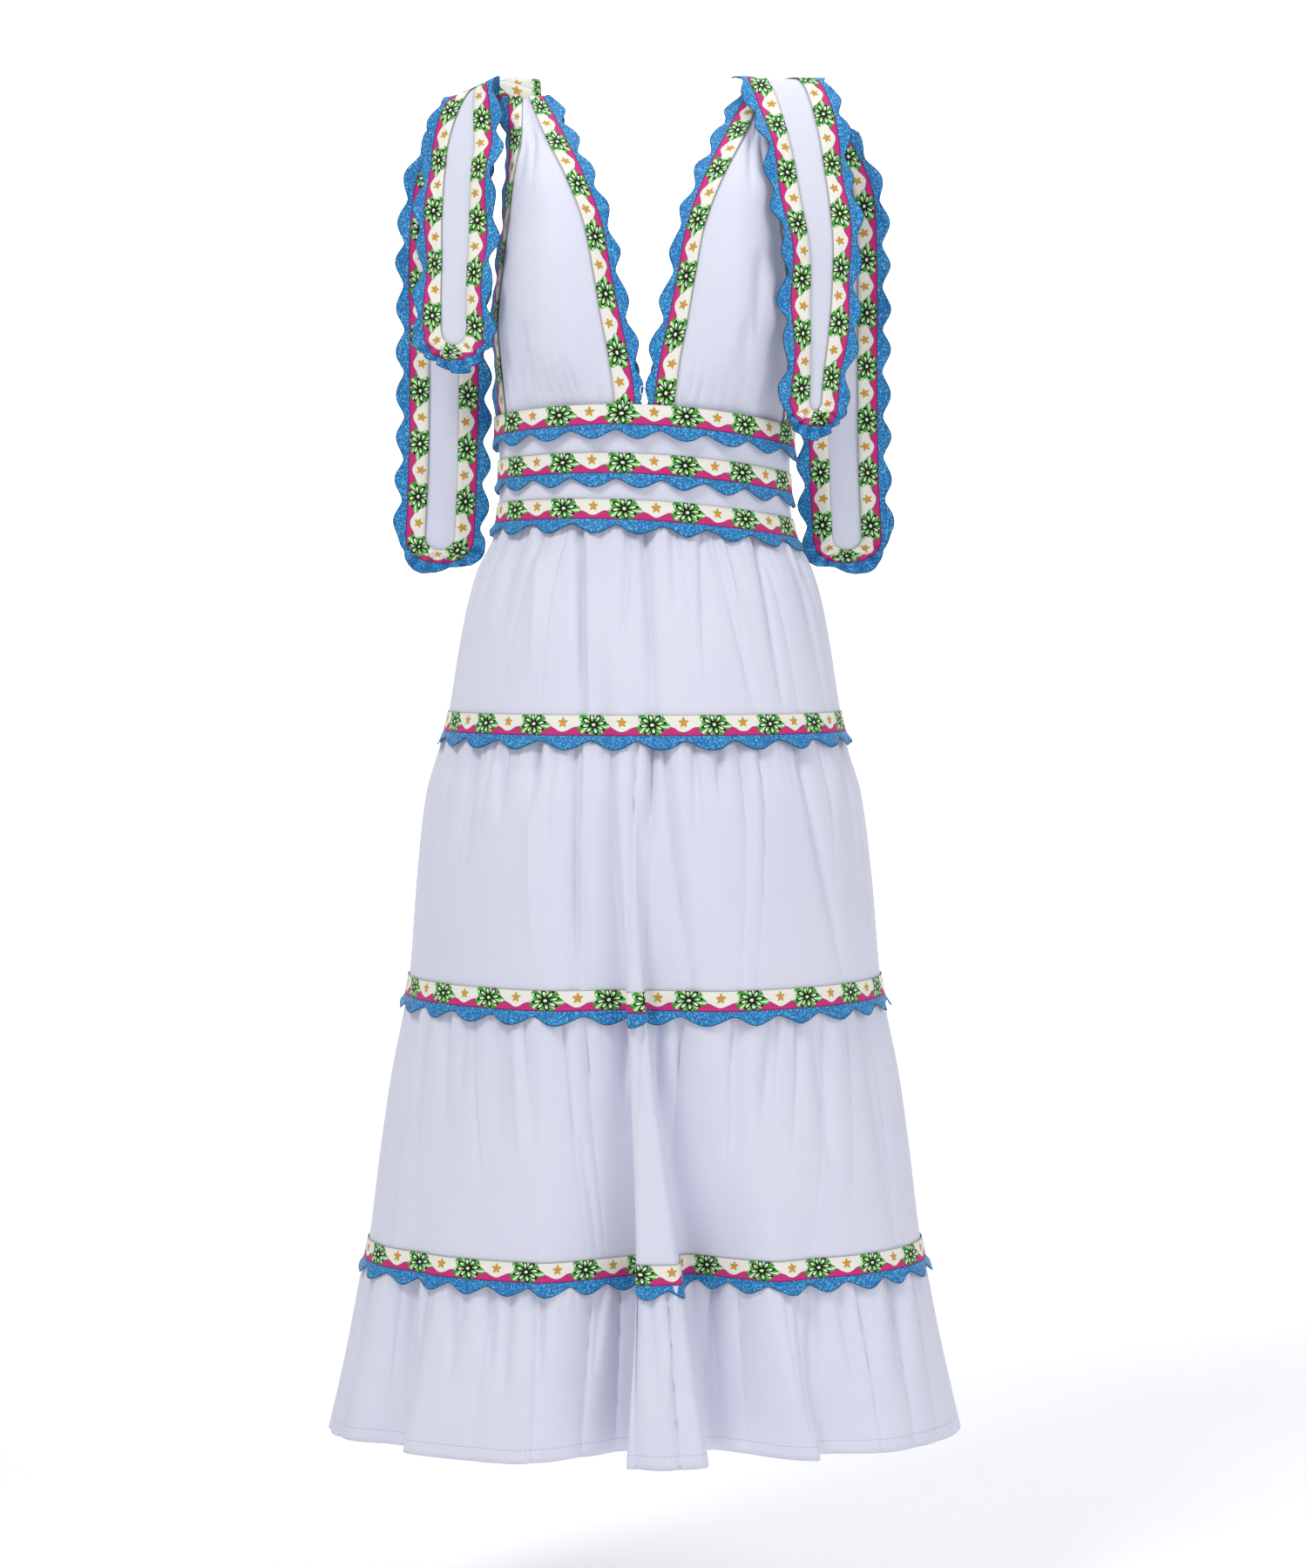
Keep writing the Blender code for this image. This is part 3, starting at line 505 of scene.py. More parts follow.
def new_piece(name, points, faces, uv, materials, face_material=None, from_rim=None):
    """A mesh piece with the cloth's own coordinates, smooth shaded."""
    mesh = bpy.data.meshes.new(name)
    mesh.from_pydata(points.reshape(-1, 3).tolist(), [], faces.tolist())
    for made in materials:
        mesh.materials.append(made)
    if face_material is not None:
        mesh.polygons.foreach_set("material_index", face_material)
    corners = np.empty(len(mesh.loops), np.int32)
    mesh.loops.foreach_get("vertex_index", corners)
    layer = mesh.uv_layers.new(name="cloth")
    layer.data.foreach_set("uv", uv.reshape(-1, 2)[corners].astype(np.float32).ravel())
    if from_rim is not None:
        attribute = mesh.attributes.new("from_rim", "FLOAT", "POINT")
        attribute.data.foreach_set("value", from_rim.astype(np.float32).ravel())
    mesh.shade_smooth()
    mesh.update()
    piece = bpy.data.objects.new(name, mesh)
    bpy.context.scene.collection.objects.link(piece)
    return piece


def grid_faces(rows, columns):
    """Four-sided faces of a grid, anticlockwise seen from outside where rows run down and columns to the right."""
    first = (np.arange(rows - 1)[:, None] * columns + np.arange(columns - 1)[None, :]).ravel()
    return np.stack([first, first + columns, first + columns + 1, first + 1], axis=1)


def grid_normals(points):
    down = np.gradient(points, axis=0)
    along = np.gradient(points, axis=1)
    normals = np.cross(down, along)
    return normals / np.maximum(np.linalg.norm(normals, axis=2, keepdims=True), 1e-12)


def grid_area(points):
    a = points[1:, :-1] - points[:-1, :-1]
    b = points[:-1, 1:] - points[:-1, :-1]
    return float(np.linalg.norm(np.cross(a, b), axis=2).sum())


def lengths_along(points):
    """Distance run along each row of a grid of points."""
    steps = np.linalg.norm(np.diff(points, axis=1), axis=2)
    return np.concatenate([np.zeros((len(points), 1)), np.cumsum(steps, axis=1)], axis=1)


def thicken(piece, thickness, offset=-1.0):
    wall = piece.modifiers.new("Thickness", "SOLIDIFY")
    wall.thickness = thickness
    wall.offset = offset
    wall.use_rim = True


def settle(piece, slot, *nodes, flat=None, held="gathered", area=None, rests_on=()):
    """Puts a piece on the dress, in place of its solids. The size that its cloth was cut to is given as flat, which
    is not used.
    """
    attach(piece, "root")
    if nodes:
        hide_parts(*nodes)


def cut_strip(length):
    """The flat size of a border trim of this length, ribbon and edging together."""
    return (round(length + 2 * SEAM_ALLOWANCE, 2), TRIM_STRIP)


# The form of the body and skirt


def table_value(rows, z, column):
    """A column of a table at heights z, on a smooth curve through its rows."""
    heights = np.array([row.z for row in rows])
    values = np.array([getattr(row, column) for row in rows])
    z = np.clip(np.asarray(z, float), heights[-1], heights[0])
    i = np.clip(np.searchsorted(-heights, -z, side="right") - 1, 0, len(rows) - 2)
    before = np.maximum(i - 1, 0)
    after = np.minimum(i + 2, len(rows) - 1)
    span = heights[i + 1] - heights[i]
    t = (z - heights[i]) / span
    start = (values[i + 1] - values[before]) / (heights[i + 1] - heights[before]) * span
    end = (values[after] - values[i]) / (heights[after] - heights[i]) * span
    return (
        (2 * t**3 - 3 * t**2 + 1) * values[i]
        + (t**3 - 2 * t**2 + t) * start
        + (3 * t**2 - 2 * t**3) * values[i + 1]
        + (t**3 - t**2) * end
    )


def fold_values(angle, z):
    """How far the large folds carry points inwards, and how many degrees sideways."""
    depth = np.zeros(np.broadcast(angle, z).shape)
    lean = np.zeros_like(depth)
    for rows in FOLDS.values():
        centre = table_value(rows, z, "angle")
        reach = table_value(rows, z, "half_angle")
        away = np.abs((angle - centre + 180.0) % 360.0 - 180.0) / reach
        share = np.where(away < 1.0, 0.5 + 0.5 * np.cos(np.pi * np.minimum(away, 1.0)), 0.0)
        share = np.where(np.asarray(z) < rows[0].z, share, 0.0)
        depth += table_value(rows, z, "depth") * share
        lean += table_value(rows, z, "lean") * share
    return depth, lean


def section_points(angle, z, inset=0.0):
    """Points on the dress's section at heights z, and their outward directions in plan."""
    depth_in, lean = fold_values(angle, z)
    turn = np.radians(angle + lean)
    half_width = table_value(LEVELS, z, "half_width")
    front = table_value(LEVELS, z, "front_depth")
    back = table_value(LEVELS, z, "back_depth")
    depth = np.where(np.cos(turn) > 0, front, back)
    outward = np.stack([np.sin(turn) / half_width, -np.cos(turn) / depth, np.zeros_like(turn)], axis=-1)
    outward /= np.linalg.norm(outward, axis=-1, keepdims=True)
    points = np.stack([half_width * np.sin(turn), -depth * np.cos(turn), z + np.zeros_like(turn)], axis=-1)
    return points - outward * (inset + depth_in)[..., None], outward


def equal_angles(z, start, end, columns):
    """Angles that part the section at height z into columns of equal length."""
    fine = np.linspace(start, end, 1441)
    points, _ = section_points(fine, np.full_like(fine, z))
    lengths = np.concatenate([[0.0], np.cumsum(np.linalg.norm(np.diff(points, axis=0), axis=1))])
    return np.interp(np.linspace(0.0, lengths[-1], columns + 1), lengths, fine), lengths[-1]


def waist_height(trim, angle):
    """The height of a waist trim's top edge."""
    turn = np.radians(angle)
    return trim.z + trim.rise * np.maximum(0.0, np.cos(turn)) ** 2 - trim.tilt * np.sin(turn)


def waist_seam(angle):
    return waist_height(WAIST_TRIMS[-1], angle) - RIBBON_WIDTH


def level_seam(height, angle):
    return height + np.zeros_like(angle)


# Gathers and creases


class Gathers:
    """Uneven gathers along a seam of a given length, each with its own width, depth, length and slant."""

    def __init__(self, seam, count, depth, reach, seed):
        chance = np.random.RandomState(seed)
        widths = 0.45 + chance.rand(count) ** 1.3
        self.marks = np.concatenate([[0.0], np.cumsum(widths)]) * seam / widths.sum()
        self.depths = 1.9 * depth * (0.30 + 0.90 * chance.rand(count))
        self.reaches = reach * (0.35 + 1.75 * chance.rand(count) ** 1.6)
        self.slants = 0.12 * (chance.rand(count + 1) - 0.5)
        self.puckers = seam / (2.6 * count)
        self.phase = chance.rand() * 6.0

    def height(self, along, down):
        """Height of the cloth at a distance along the seam and a distance down from it."""
        spread = 1.0 / (1.0 + down / 0.35)
        marks = self.marks
        shift = np.interp(along, marks, self.slants) * down
        place = np.clip(along - shift, 0.0, marks[-1] - 1e-9)
        cell = np.clip(np.searchsorted(marks, place, side="right") - 1, 0, len(self.depths) - 1)
        share = (place - marks[cell]) / (marks[cell + 1] - marks[cell])
        ridge = np.sin(np.pi * share) ** 0.60
        rise = 0.30 + 0.70 * (1.0 - np.exp(-down / 0.016))
        fade = np.exp(-((down / self.reaches[cell]) ** 1.4))
        broad = self.depths[cell] * (ridge - 0.55) * rise * fade * spread
        small = np.abs(np.sin(np.pi * along / self.puckers + 1.3 * np.sin(along * 37.0 + self.phase))) ** 0.7
        fine = 0.0018 * (small - 0.5) * np.exp(-((down / 0.022) ** 1.2))
        return broad + fine


# Long folds of the front, as seen: where each starts and ends across the dress at its tier's seam and foot, the
# shares of the tier's height between which it shows, and its width and depth. A depth below 0 is a ridge.
LongFold = namedtuple("LongFold", "top_x foot_x start end width depth")
FRONT_FOLDS = {
    "skirt_tier_1": (
        LongFold(-0.110, -0.146, 0.00, 0.60, 0.0060, 0.0020),
        LongFold(-0.092, -0.104, 0.15, 0.75, 0.0050, -0.0014),
        LongFold(-0.058, -0.055, 0.00, 1.05, 0.0038, 0.0040),
        LongFold(-0.050, -0.048, 0.00, 1.05, 0.0036, -0.0020),
        LongFold(-0.013, -0.024, 0.00, 0.70, 0.0036, 0.0026),
        LongFold(0.000, 0.009, 0.00, 1.05, 0.0042, 0.0044),
        LongFold(0.025, 0.030, 0.00, 0.45, 0.0040, 0.0020),
        LongFold(0.050, 0.055, 0.00, 0.75, 0.0034, 0.0026),
        LongFold(0.060, 0.104, 0.00, 0.98, 0.0038, 0.0022),
        LongFold(0.066, 0.112, 0.00, 0.60, 0.0040, -0.0016),
        LongFold(0.099, 0.128, 0.00, 0.92, 0.0036, 0.0034),
        LongFold(0.136, 0.166, 0.05, 0.70, 0.0050, 0.0020),
    ),
    "skirt_tier_2": (
        LongFold(-0.150, -0.172, 0.00, 0.55, 0.0060, 0.0024),
        LongFold(-0.126, -0.130, 0.00, 0.30, 0.0050, 0.0030),
        LongFold(-0.094, -0.106, 0.00, 0.22, 0.0040, 0.0034),
        LongFold(-0.104, -0.098, 0.25, 0.80, 0.0070, -0.0016),
        LongFold(-0.062, -0.062, 0.00, 1.05, 0.0040, 0.0036),
        LongFold(-0.053, -0.054, 0.00, 1.05, 0.0040, -0.0022),
        LongFold(0.008, -0.004, 0.00, 0.40, 0.0038, 0.0036),
        LongFold(0.016, 0.044, 0.00, 1.05, 0.0044, 0.0040),
        LongFold(0.044, 0.050, 0.00, 0.45, 0.0050, 0.0024),
        LongFold(0.064, 0.078, 0.00, 0.25, 0.0036, 0.0036),
        LongFold(0.084, 0.112, 0.00, 0.50, 0.0044, 0.0022),
        LongFold(0.134, 0.184, 0.00, 0.95, 0.0038, 0.0036),
        LongFold(0.176, 0.204, 0.00, 0.80, 0.0060, 0.0020),
    ),
    "skirt_tier_3": (
        LongFold(-0.160, -0.170, 0.00, 0.35, 0.0060, 0.0028),
        LongFold(-0.128, -0.128, 0.00, 0.50, 0.0060, 0.0024),
        LongFold(-0.112, -0.110, 0.05, 0.60, 0.0060, -0.0018),
        LongFold(-0.070, -0.040, 0.45, 0.98, 0.0050, 0.0024),
        LongFold(-0.016, -0.020, 0.00, 0.35, 0.0044, 0.0030),
        LongFold(0.012, 0.010, 0.00, 0.40, 0.0044, 0.0026),
        LongFold(0.032, 0.028, 0.00, 0.30, 0.0040, 0.0030),
        LongFold(0.086, 0.076, 0.00, 0.60, 0.0060, 0.0028),
        LongFold(0.110, 0.096, 0.00, 0.45, 0.0050, 0.0026),
        LongFold(0.146, 0.182, 0.00, 0.70, 0.0060, 0.0024),
        LongFold(0.194, 0.232, 0.00, 0.95, 0.0060, 0.0026),
    ),
    "skirt_tier_4": (
        LongFold(-0.208, -0.222, 0.00, 0.60, 0.0060, 0.0036),
        LongFold(-0.170, -0.176, 0.00, 0.50, 0.0050, 0.0034),
        LongFold(-0.136, -0.140, 0.00, 0.55, 0.0050, 0.0030),
        LongFold(-0.118, -0.130, 0.00, 0.75, 0.0060, 0.0034),
        LongFold(-0.092, -0.094, 0.00, 0.60, 0.0050, 0.0030),
        LongFold(-0.038, -0.052, 0.00, 0.55, 0.0050, 0.0032),
        LongFold(0.004, 0.016, 0.00, 0.70, 0.0050, 0.0030),
        LongFold(0.028, 0.014, 0.00, 0.80, 0.0050, -0.0026),
        LongFold(0.064, 0.050, 0.00, 0.50, 0.0050, 0.0034),
        LongFold(0.134, 0.150, 0.00, 0.85, 0.0050, 0.0032),
        LongFold(0.146, 0.150, 0.00, 0.95, 0.0050, 0.0036),
        LongFold(0.172, 0.200, 0.00, 0.70, 0.0060, 0.0034),
        LongFold(0.218, 0.242, 0.00, 0.65, 0.0060, 0.0030),
    ),
}
FOLD_STRENGTH = 2.0
BODICE_FOLDS = (
    LongFold(-0.100, -0.113, 0.72, 0.97, 0.0040, 0.0030),
    LongFold(-0.126, -0.100, 0.78, 0.99, 0.0044, 0.0020),
    LongFold(-0.106, -0.122, 0.00, 0.35, 0.0050, 0.0030),
    LongFold(-0.098, -0.104, 0.00, 0.32, 0.0050, 0.0026),
    LongFold(0.112, 0.096, 0.52, 0.78, 0.0044, 0.0034),
    LongFold(0.124, 0.080, 0.70, 0.98, 0.0046, 0.0024),
    LongFold(0.104, 0.118, 0.00, 0.32, 0.0050, 0.0030),
    LongFold(0.096, 0.090, 0.00, 0.36, 0.0050, 0.0026),
)


def hidden_folds(tier):
    """Long folds for the back of a tier: its front ones in another order and with other lengths."""
    folds = FRONT_FOLDS[tier]
    return [
        fold._replace(top_x=-fold.top_x * 0.93, foot_x=-fold.foot_x * 0.93, end=0.35 + 0.65 * (k * 5 % 7) / 6)
        for k, fold in enumerate(folds)
    ]


def fold_height(x, share, folds):
    """Height of the long folds at places x across the dress and shares of the way down."""
    total = np.zeros(np.broadcast(x, share).shape)
    for fold in folds:
        centre = fold.top_x + (fold.foot_x - fold.top_x) * share
        beside = np.abs(x - centre) / fold.width
        shown = np.clip((share - fold.start) / 0.04 + (fold.start <= 0), 0.0, 1.0)
        shown = shown * np.clip((fold.end - share) / (0.45 * (fold.end - fold.start)), 0.0, 1.0) ** 0.8
        total -= FOLD_STRENGTH * fold.depth * shown * np.exp(-(beside**1.3))
    return total


# The skirt and waist


def tube_half(top, foot, start, columns, downs, bow=0.0):
    """Half of a ring of the dress between two seams: its points, outward directions, and distances along and down."""
    middle = np.array([start + SIDE_ANGLE])
    top_z, foot_z = float(top(middle)[0]), float(foot(middle)[0])
    points, outward, along = [], [], []
    for share in downs:
        level = top_z + (foot_z - top_z) * share
        angles, length = equal_angles(level, start, start + 2 * SIDE_ANGLE, columns)
        z = top(angles) * (1 - share) + foot(angles) * share
        row, out = section_points(angles, z, 0.0)
        points.append(row)
        outward.append(out)
        along.append(np.linspace(0.0, length, columns + 1))
    points = np.array(points)
    down = points[0, :, 2][None, :] - points[:, :, 2]
    return points, np.array(outward), np.array(along), down


def place_tier(tier, above, foot, start, material, where):
    columns = tier.columns if where == "front" else round(0.8 * tier.columns)
    downs = np.linspace(0.0, 1.0, 35) ** 1.25
    points, outward, along, down = tube_half(above, foot, start, columns, downs)
    seam = along[0, -1]
    gathers = Gathers(seam, tier.gathers, tier.depth, tier.reach, tier.seed + (7 if where == "back" else 0))
    fraction = along / along[:, -1:]
    height = gathers.height(fraction * seam, down)
    ends = np.minimum(1.0, np.minimum(fraction, 1 - fraction) * 40)
    foot_fade = np.minimum(1.0, (down[-1:] - down) / 0.020) if tier.trim_z is not None else 1.0
    height = height * ends * foot_fade
    height -= TUCK_INSET * np.exp(-down / TUCK_RISE)
    folds = FRONT_FOLDS[tier.name] if where == "front" else hidden_folds(tier.name)
    height += fold_height(points[..., 0], down / down[-1:], folds)
    points = points + outward * height[..., None]
    uv = np.stack([along, -(down[-1:] - down)], axis=-1)
    piece = new_piece(f"cloth_{tier.name}_{where}", points, grid_faces(*points.shape[:2]), uv, [material])
    thicken(piece, 0.0006)
    settle(piece, "white_cotton", f"{tier.name}_{where}", flat=tier.flat)
    return piece


def scallop_shape(phase):
    """How far the edging reaches past the ribbon, by the place along a scallop from notch to notch."""
    wave = 0.40 * np.abs(np.sin(np.pi * phase)) + 0.60 * np.sin(np.pi * phase) ** 2
    return SCALLOP_NOTCH + (SCALLOP_CREST - SCALLOP_NOTCH) * wave


RIBBON_ROWS = 5
EDGING_ROWS = 5


def trim_piece(name, tops, edges, outs, normals, scallops, repeats, repeat, materials, wave_seed, thick=True):
    """A border trim: a ribbon between two lines, and its edging past the second line.

    tops and edges are lines of points; outs carries an edge point out by a metre of reach; normals face outwards.
    """
    count = len(edges)
    steps = np.linalg.norm(np.diff((tops + edges) / 2, axis=0), axis=1)
    length = np.concatenate([[0.0], np.cumsum(steps)])
    whole = length[-1]
    scale = repeats * repeat / whole
    chance = np.random.RandomState(wave_seed)
    phase_noise = np.interp(length, np.linspace(0, whole, 2 * scallops + 3), 0.10 * (chance.rand(2 * scallops + 3) - 0.5))
    reach = scallop_shape(length / whole * scallops + phase_noise)
    wave = 0.0010 * np.sin(length * 2 * math.pi / 0.061 + chance.rand() * 6) + 0.0006 * np.sin(length * 2 * math.pi / 0.023)
    rows, uvs, rims = [], [], []
    for k in range(RIBBON_ROWS):
        t = k / (RIBBON_ROWS - 1)
        rows.append(tops * (1 - t) + edges * t)
        uvs.append(np.stack([length * scale, np.full(count, RIBBON_WIDTH * t)], axis=-1))
        rims.append(np.full(count, SCALLOP_CREST))
    for k in range(1, EDGING_ROWS + 1):
        t = k / EDGING_ROWS
        lift = normals * (wave * t**2)[:, None]
        rows.append(edges + outs * (reach * t)[:, None] + lift)
        uvs.append(np.stack([length * scale, RIBBON_WIDTH + reach * t], axis=-1))
        rims.append(reach * (1 - t))
    points = np.array(rows)
    faces = grid_faces(len(rows), count)
    in_edging = (np.arange(len(rows) - 1)[:, None] >= RIBBON_ROWS - 1).repeat(count - 1, axis=1).ravel()
    piece = new_piece(
        name,
        points,
        faces,
        np.array(uvs),
        materials,
        in_edging.astype(np.int32),
        np.array(rims),
    )
    if thick:
        thicken(piece, TRIM_THICKNESS, 1.0)
    return piece, whole, grid_area(points)


def place_ring_trim(name, top_z, flare, scallops, seed, materials, gap=TRIM_GAP):
    """A trim right round the dress, on its section."""
    columns = 576
    start = -SIDE_ANGLE
    level = float(top_z(np.array([0.0]))[0]) - RIBBON_WIDTH / 2
    angles, _ = equal_angles(level, start, start + 360.0, columns)
    tops, out_top = section_points(angles, top_z(angles))
    edges, out_edge = section_points(angles, top_z(angles) - RIBBON_WIDTH)
    tops = tops + out_top * gap
    edges = edges + out_edge * (gap + 0.0008)
    outs = edges - tops
    outs /= np.linalg.norm(outs, axis=1, keepdims=True)
    outs = outs + out_edge * (flare / SCALLOP_CREST)
    length = np.linalg.norm(np.diff(edges, axis=0), axis=1).sum()
    repeats = round(length / PRINT_REPEAT)
    piece, whole, area = trim_piece(
        f"border_{name}", tops, edges, outs, out_edge, scallops, repeats, PRINT_REPEAT, materials, seed
    )
    settle(piece, "border_trim", name, flat=cut_strip(whole), held="hung")
    return piece


def build_waist(looks):
    first, second, third = WAIST_TRIMS

    def top(angle):
        return waist_height(first, angle) - BODICE_OVERLAP - 0.0003

    for where, start in (("front", -SIDE_ANGLE), ("back", SIDE_ANGLE)):
        points, outward, along, down = tube_half(top, waist_seam, start, 120, np.linspace(0.0, 1.0, 25))
        fraction = along / along[:, -1:]
        pull = 0.0005 * np.sin(down * 2 * math.pi / 0.021 + 5 * fraction) * np.sin(math.pi * fraction)
        points = points + outward * pull[..., None]
        uv = np.stack([along, -down], axis=-1)
        piece = new_piece(f"cloth_midriff_{where}", points, grid_faces(*points.shape[:2]), uv, [looks["cotton"]])
        thicken(piece, 0.0006)
        settle(piece, "white_cotton", f"midriff_{where}", flat=(0.38, 0.11), held="stretched")
    for number, trim in enumerate(WAIST_TRIMS):
        heights = partial(waist_height, trim)
        materials = [looks["print"], looks["edging"]]
        gap = TRIM_GAP if number else TRIM_GAP + WAIST_OVER_BODICE
        place_ring_trim(trim.name, heights, trim.flare, trim.scallops, 60 + number, materials, gap)


def build_skirt(looks):
    above = waist_seam
    for number, tier in enumerate(TIERS, 1):
        foot = partial(level_seam, HEM_Z if tier.trim_z is None else tier.trim_z - RIBBON_WIDTH)
        look = looks["hem cotton"] if tier.trim_z is None else looks["cotton"]
        for where, start in (("front", -SIDE_ANGLE), ("back", SIDE_ANGLE)):
            place_tier(tier, above, foot, start, look, where)
        if tier.trim_z is not None:
            heights = partial(level_seam, tier.trim_z)
            materials = [looks["print"], looks["edging"]]
            place_ring_trim(f"skirt_trim_{number}", heights, 0.0042, tier.scallops, 70 + number, materials)
        above = foot


# The bodice


def panel_line(row, shares):
    """A bodice row as points, with the shares 0 at the neck edge and 1 at the armhole, on +X and in front."""
    x = row.neck_x + (row.arm_x - row.neck_x) * shares
    neck_away = (FULLEST_AT - shares) / FULLEST_AT
    arm_away = np.clip((shares - FULLEST_AT) / (1.0 - FULLEST_AT), 0.0, 1.0)
    near_neck = row.full_depth - (row.full_depth - row.neck_depth) * neck_away**2
    near_arm = row.arm_depth + (row.full_depth - row.arm_depth) * np.maximum(0.0, 1.0 - arm_away**2) ** 0.75
    depth = np.where(shares <= FULLEST_AT, near_neck, near_arm)
    return np.stack([x, -depth, np.full_like(x, row.z)], axis=-1)


RIBBON_STEPS = 6
PANEL_STEPS = 60


def panel_columns(line):
    """Parts a fine line into a panel's columns, with ribbon columns along both of its ends."""
    steps = np.linalg.norm(np.diff(line, axis=0), axis=1)
    lengths = np.concatenate([[0.0], np.cumsum(steps)])
    whole = lengths[-1]
    ribbon = min(RIBBON_WIDTH, MOST_RIBBON_SHARE * whole)
    near = np.linspace(0.0, ribbon, RIBBON_STEPS + 1)
    between = np.linspace(ribbon, whole - ribbon, PANEL_STEPS + 1)
    places = np.concatenate([near[:-1], between, (whole - near)[::-1][1:]])
    return np.stack([np.interp(places, lengths, line[:, k]) for k in range(3)], axis=-1)


def smooth_rows(rows, steps):
    """A fine grid on a smooth curve through key rows."""
    rows = np.array(rows)
    gaps = np.linalg.norm(np.diff(rows, axis=0), axis=2).mean(axis=1)
    knots = np.concatenate([[0.0], np.cumsum(gaps)])
    places = np.linspace(0.0, knots[-1], steps + 1)
    i = np.clip(np.searchsorted(knots, places, side="right") - 1, 0, len(rows) - 2)
    before, after = np.maximum(i - 1, 0), np.minimum(i + 2, len(rows) - 1)
    span = (knots[i + 1] - knots[i])[:, None, None]
    t = ((places - knots[i]) / (knots[i + 1] - knots[i]))[:, None, None]
    start = (rows[i + 1] - rows[before]) / (knots[i + 1] - knots[before])[:, None, None] * span
    end = (rows[after] - rows[i]) / (knots[after] - knots[i])[:, None, None] * span
    return (
        (2 * t**3 - 3 * t**2 + 1) * rows[i]
        + (t**3 - 2 * t**2 + t) * start
        + (3 * t**2 - 2 * t**3) * rows[i + 1]
        + (t**3 - t**2) * end
    ), places


def panel_grid(table, is_back, side, steps):
    """A bodice panel's points from its shoulder to its foot, its neck edge first in each row."""
    shares = np.linspace(0.0, 1.0, 121)
    rows = []
    for row in reversed(table):
        line = panel_line(row, shares)
        line[:, 0] *= side
        if is_back:
            line[:, 1] *= -1
        rows.append(panel_columns(line))
    for rise, inset in ((ABOVE_WAIST_TRIM, 0.0006), (-BODICE_OVERLAP, 0.0014)):
        x = V_FOOT_HALF_WIDTH + (FOOT_REACH - V_FOOT_HALF_WIDTH) * shares
        angle = np.degrees(np.arcsin(x / LEVELS[1].half_width))
        angle = side * (180.0 - angle if is_back else angle)
        points, _ = section_points(angle, waist_height(WAIST_TRIMS[0], angle) + rise, inset)
        rows.append(panel_columns(points))
    return smooth_rows(rows, steps)


def place_panel(table, is_back, side, looks):
    where = "back" if is_back else "front"
    hand = "right" if side > 0 else "left"
    steps = 88
    points, down = panel_grid(table, is_back, side, steps)
    flip = (side > 0) == is_back
    grid = points[:, ::-1] if flip else points
    normals = grid_normals(grid)
    normals = normals[:, ::-1] if flip else normals
    along = lengths_along(points)
    width = along[:, -1:]
    inner = np.clip((np.minimum(along, width - along) - RIBBON_WIDTH * 0.8) / 0.012, 0.0, 1.0)
    from_foot = down[-1] - down[:, None]
    gathers = Gathers(width[-3, 0], 15, 0.0030, 0.045, 90 + 3 * is_back + (side > 0))
    share = along / width
    height = gathers.height(share * width[-3, 0], np.maximum(from_foot - 0.012, 0.0) + 0.0 * share)
    height = height * np.clip(from_foot / 0.016, 0.0, 1.0)
    top = np.exp(-((down[:, None] / 0.085) ** 1.6))
    height = height + 0.0028 * top * (np.abs(np.sin(math.pi * (share - 0.30) / 0.40 * 2.0 + 0.5 * side)) ** 0.8 - 0.5)
    height = height * inner
    if not is_back:
        height = height + fold_height(points[..., 0], (down / down[-1])[:, None], BODICE_FOLDS) * inner
    points = points + normals * height[..., None]
    uv = np.stack([along, -np.broadcast_to(down[:, None], along.shape)], axis=-1)
    shown = points[:, ::-1] if flip else points
    shown_uv = uv[:, ::-1] if flip else uv
    piece = new_piece(
        f"cloth_bodice_{where}_{hand}", shown, grid_faces(*shown.shape[:2]), shown_uv, [looks["cotton"]]
    )
    thicken(piece, 0.0006)
    flat = (round(float(width.max()) + 2 * SEAM_ALLOWANCE, 2), round(float(down[-1]) + 2 * SEAM_ALLOWANCE, 2))
    area = round(0.72 * flat[0] * flat[1], 4)
    settle(piece, "white_cotton", f"bodice_{where}_{hand}", flat=flat, area=area)
    base, _ = panel_grid(table, is_back, side, steps)
    last = steps
    for kind, order in (("neck", slice(None)), ("armhole", slice(None, None, -1))):
        lines = base[:last, order]
        outward = normals[:last, order]
        tops = lines[:, RIBBON_STEPS] + outward[:, RIBBON_STEPS] * (TRIM_GAP + 0.0004)
        edges = lines[:, 0] + outward[:, 0] * (TRIM_GAP + 0.0004)
        outs = edges - lines[:, 1] - outward[:, 1] * TRIM_GAP
        outs /= np.linalg.norm(outs, axis=1, keepdims=True)
        room = (np.abs(edges[:, 0]) - 0.0006) / np.maximum(np.abs(outs[:, 0]) * SCALLOP_CREST, 0.0006)
        outs = outs * np.minimum(1.0, room)[:, None]
        place_edge_trim(f"{kind}_trim_{where}_{hand}", tops, edges, outs, outward[:, 0], looks)


def place_edge_trim(name, tops, edges, outs, normals, looks):
    """A trim along a panel's edge, its faces turned outwards."""
    along = np.gradient(edges, axis=0)
    if (np.cross(outs, along) * normals).sum() < 0:
        tops, edges, outs, normals = tops[::-1], edges[::-1], outs[::-1], normals[::-1]
    length = np.linalg.norm(np.diff(edges, axis=0), axis=1).sum()
    repeats = length / PRINT_REPEAT_EDGE
    scallops = max(1, round(length / 0.0420))
    materials = [looks["edge print"], looks["edging"]]
    seed = sum(ord(letter) for letter in name)
    piece, whole, area = trim_piece(
        f"border_{name}", tops, edges, outs, normals, scallops, repeats, PRINT_REPEAT_EDGE, materials, seed
    )
    settle(piece, "border_trim", name, flat=cut_strip(whole), held="hung")
    return piece


def build_bodice(looks):
    for is_back, table in ((False, FRONT_PANEL), (True, BACK_PANEL)):
        for side in (-1, 1):
            place_panel(table, is_back, side, looks)


# Ties and knots


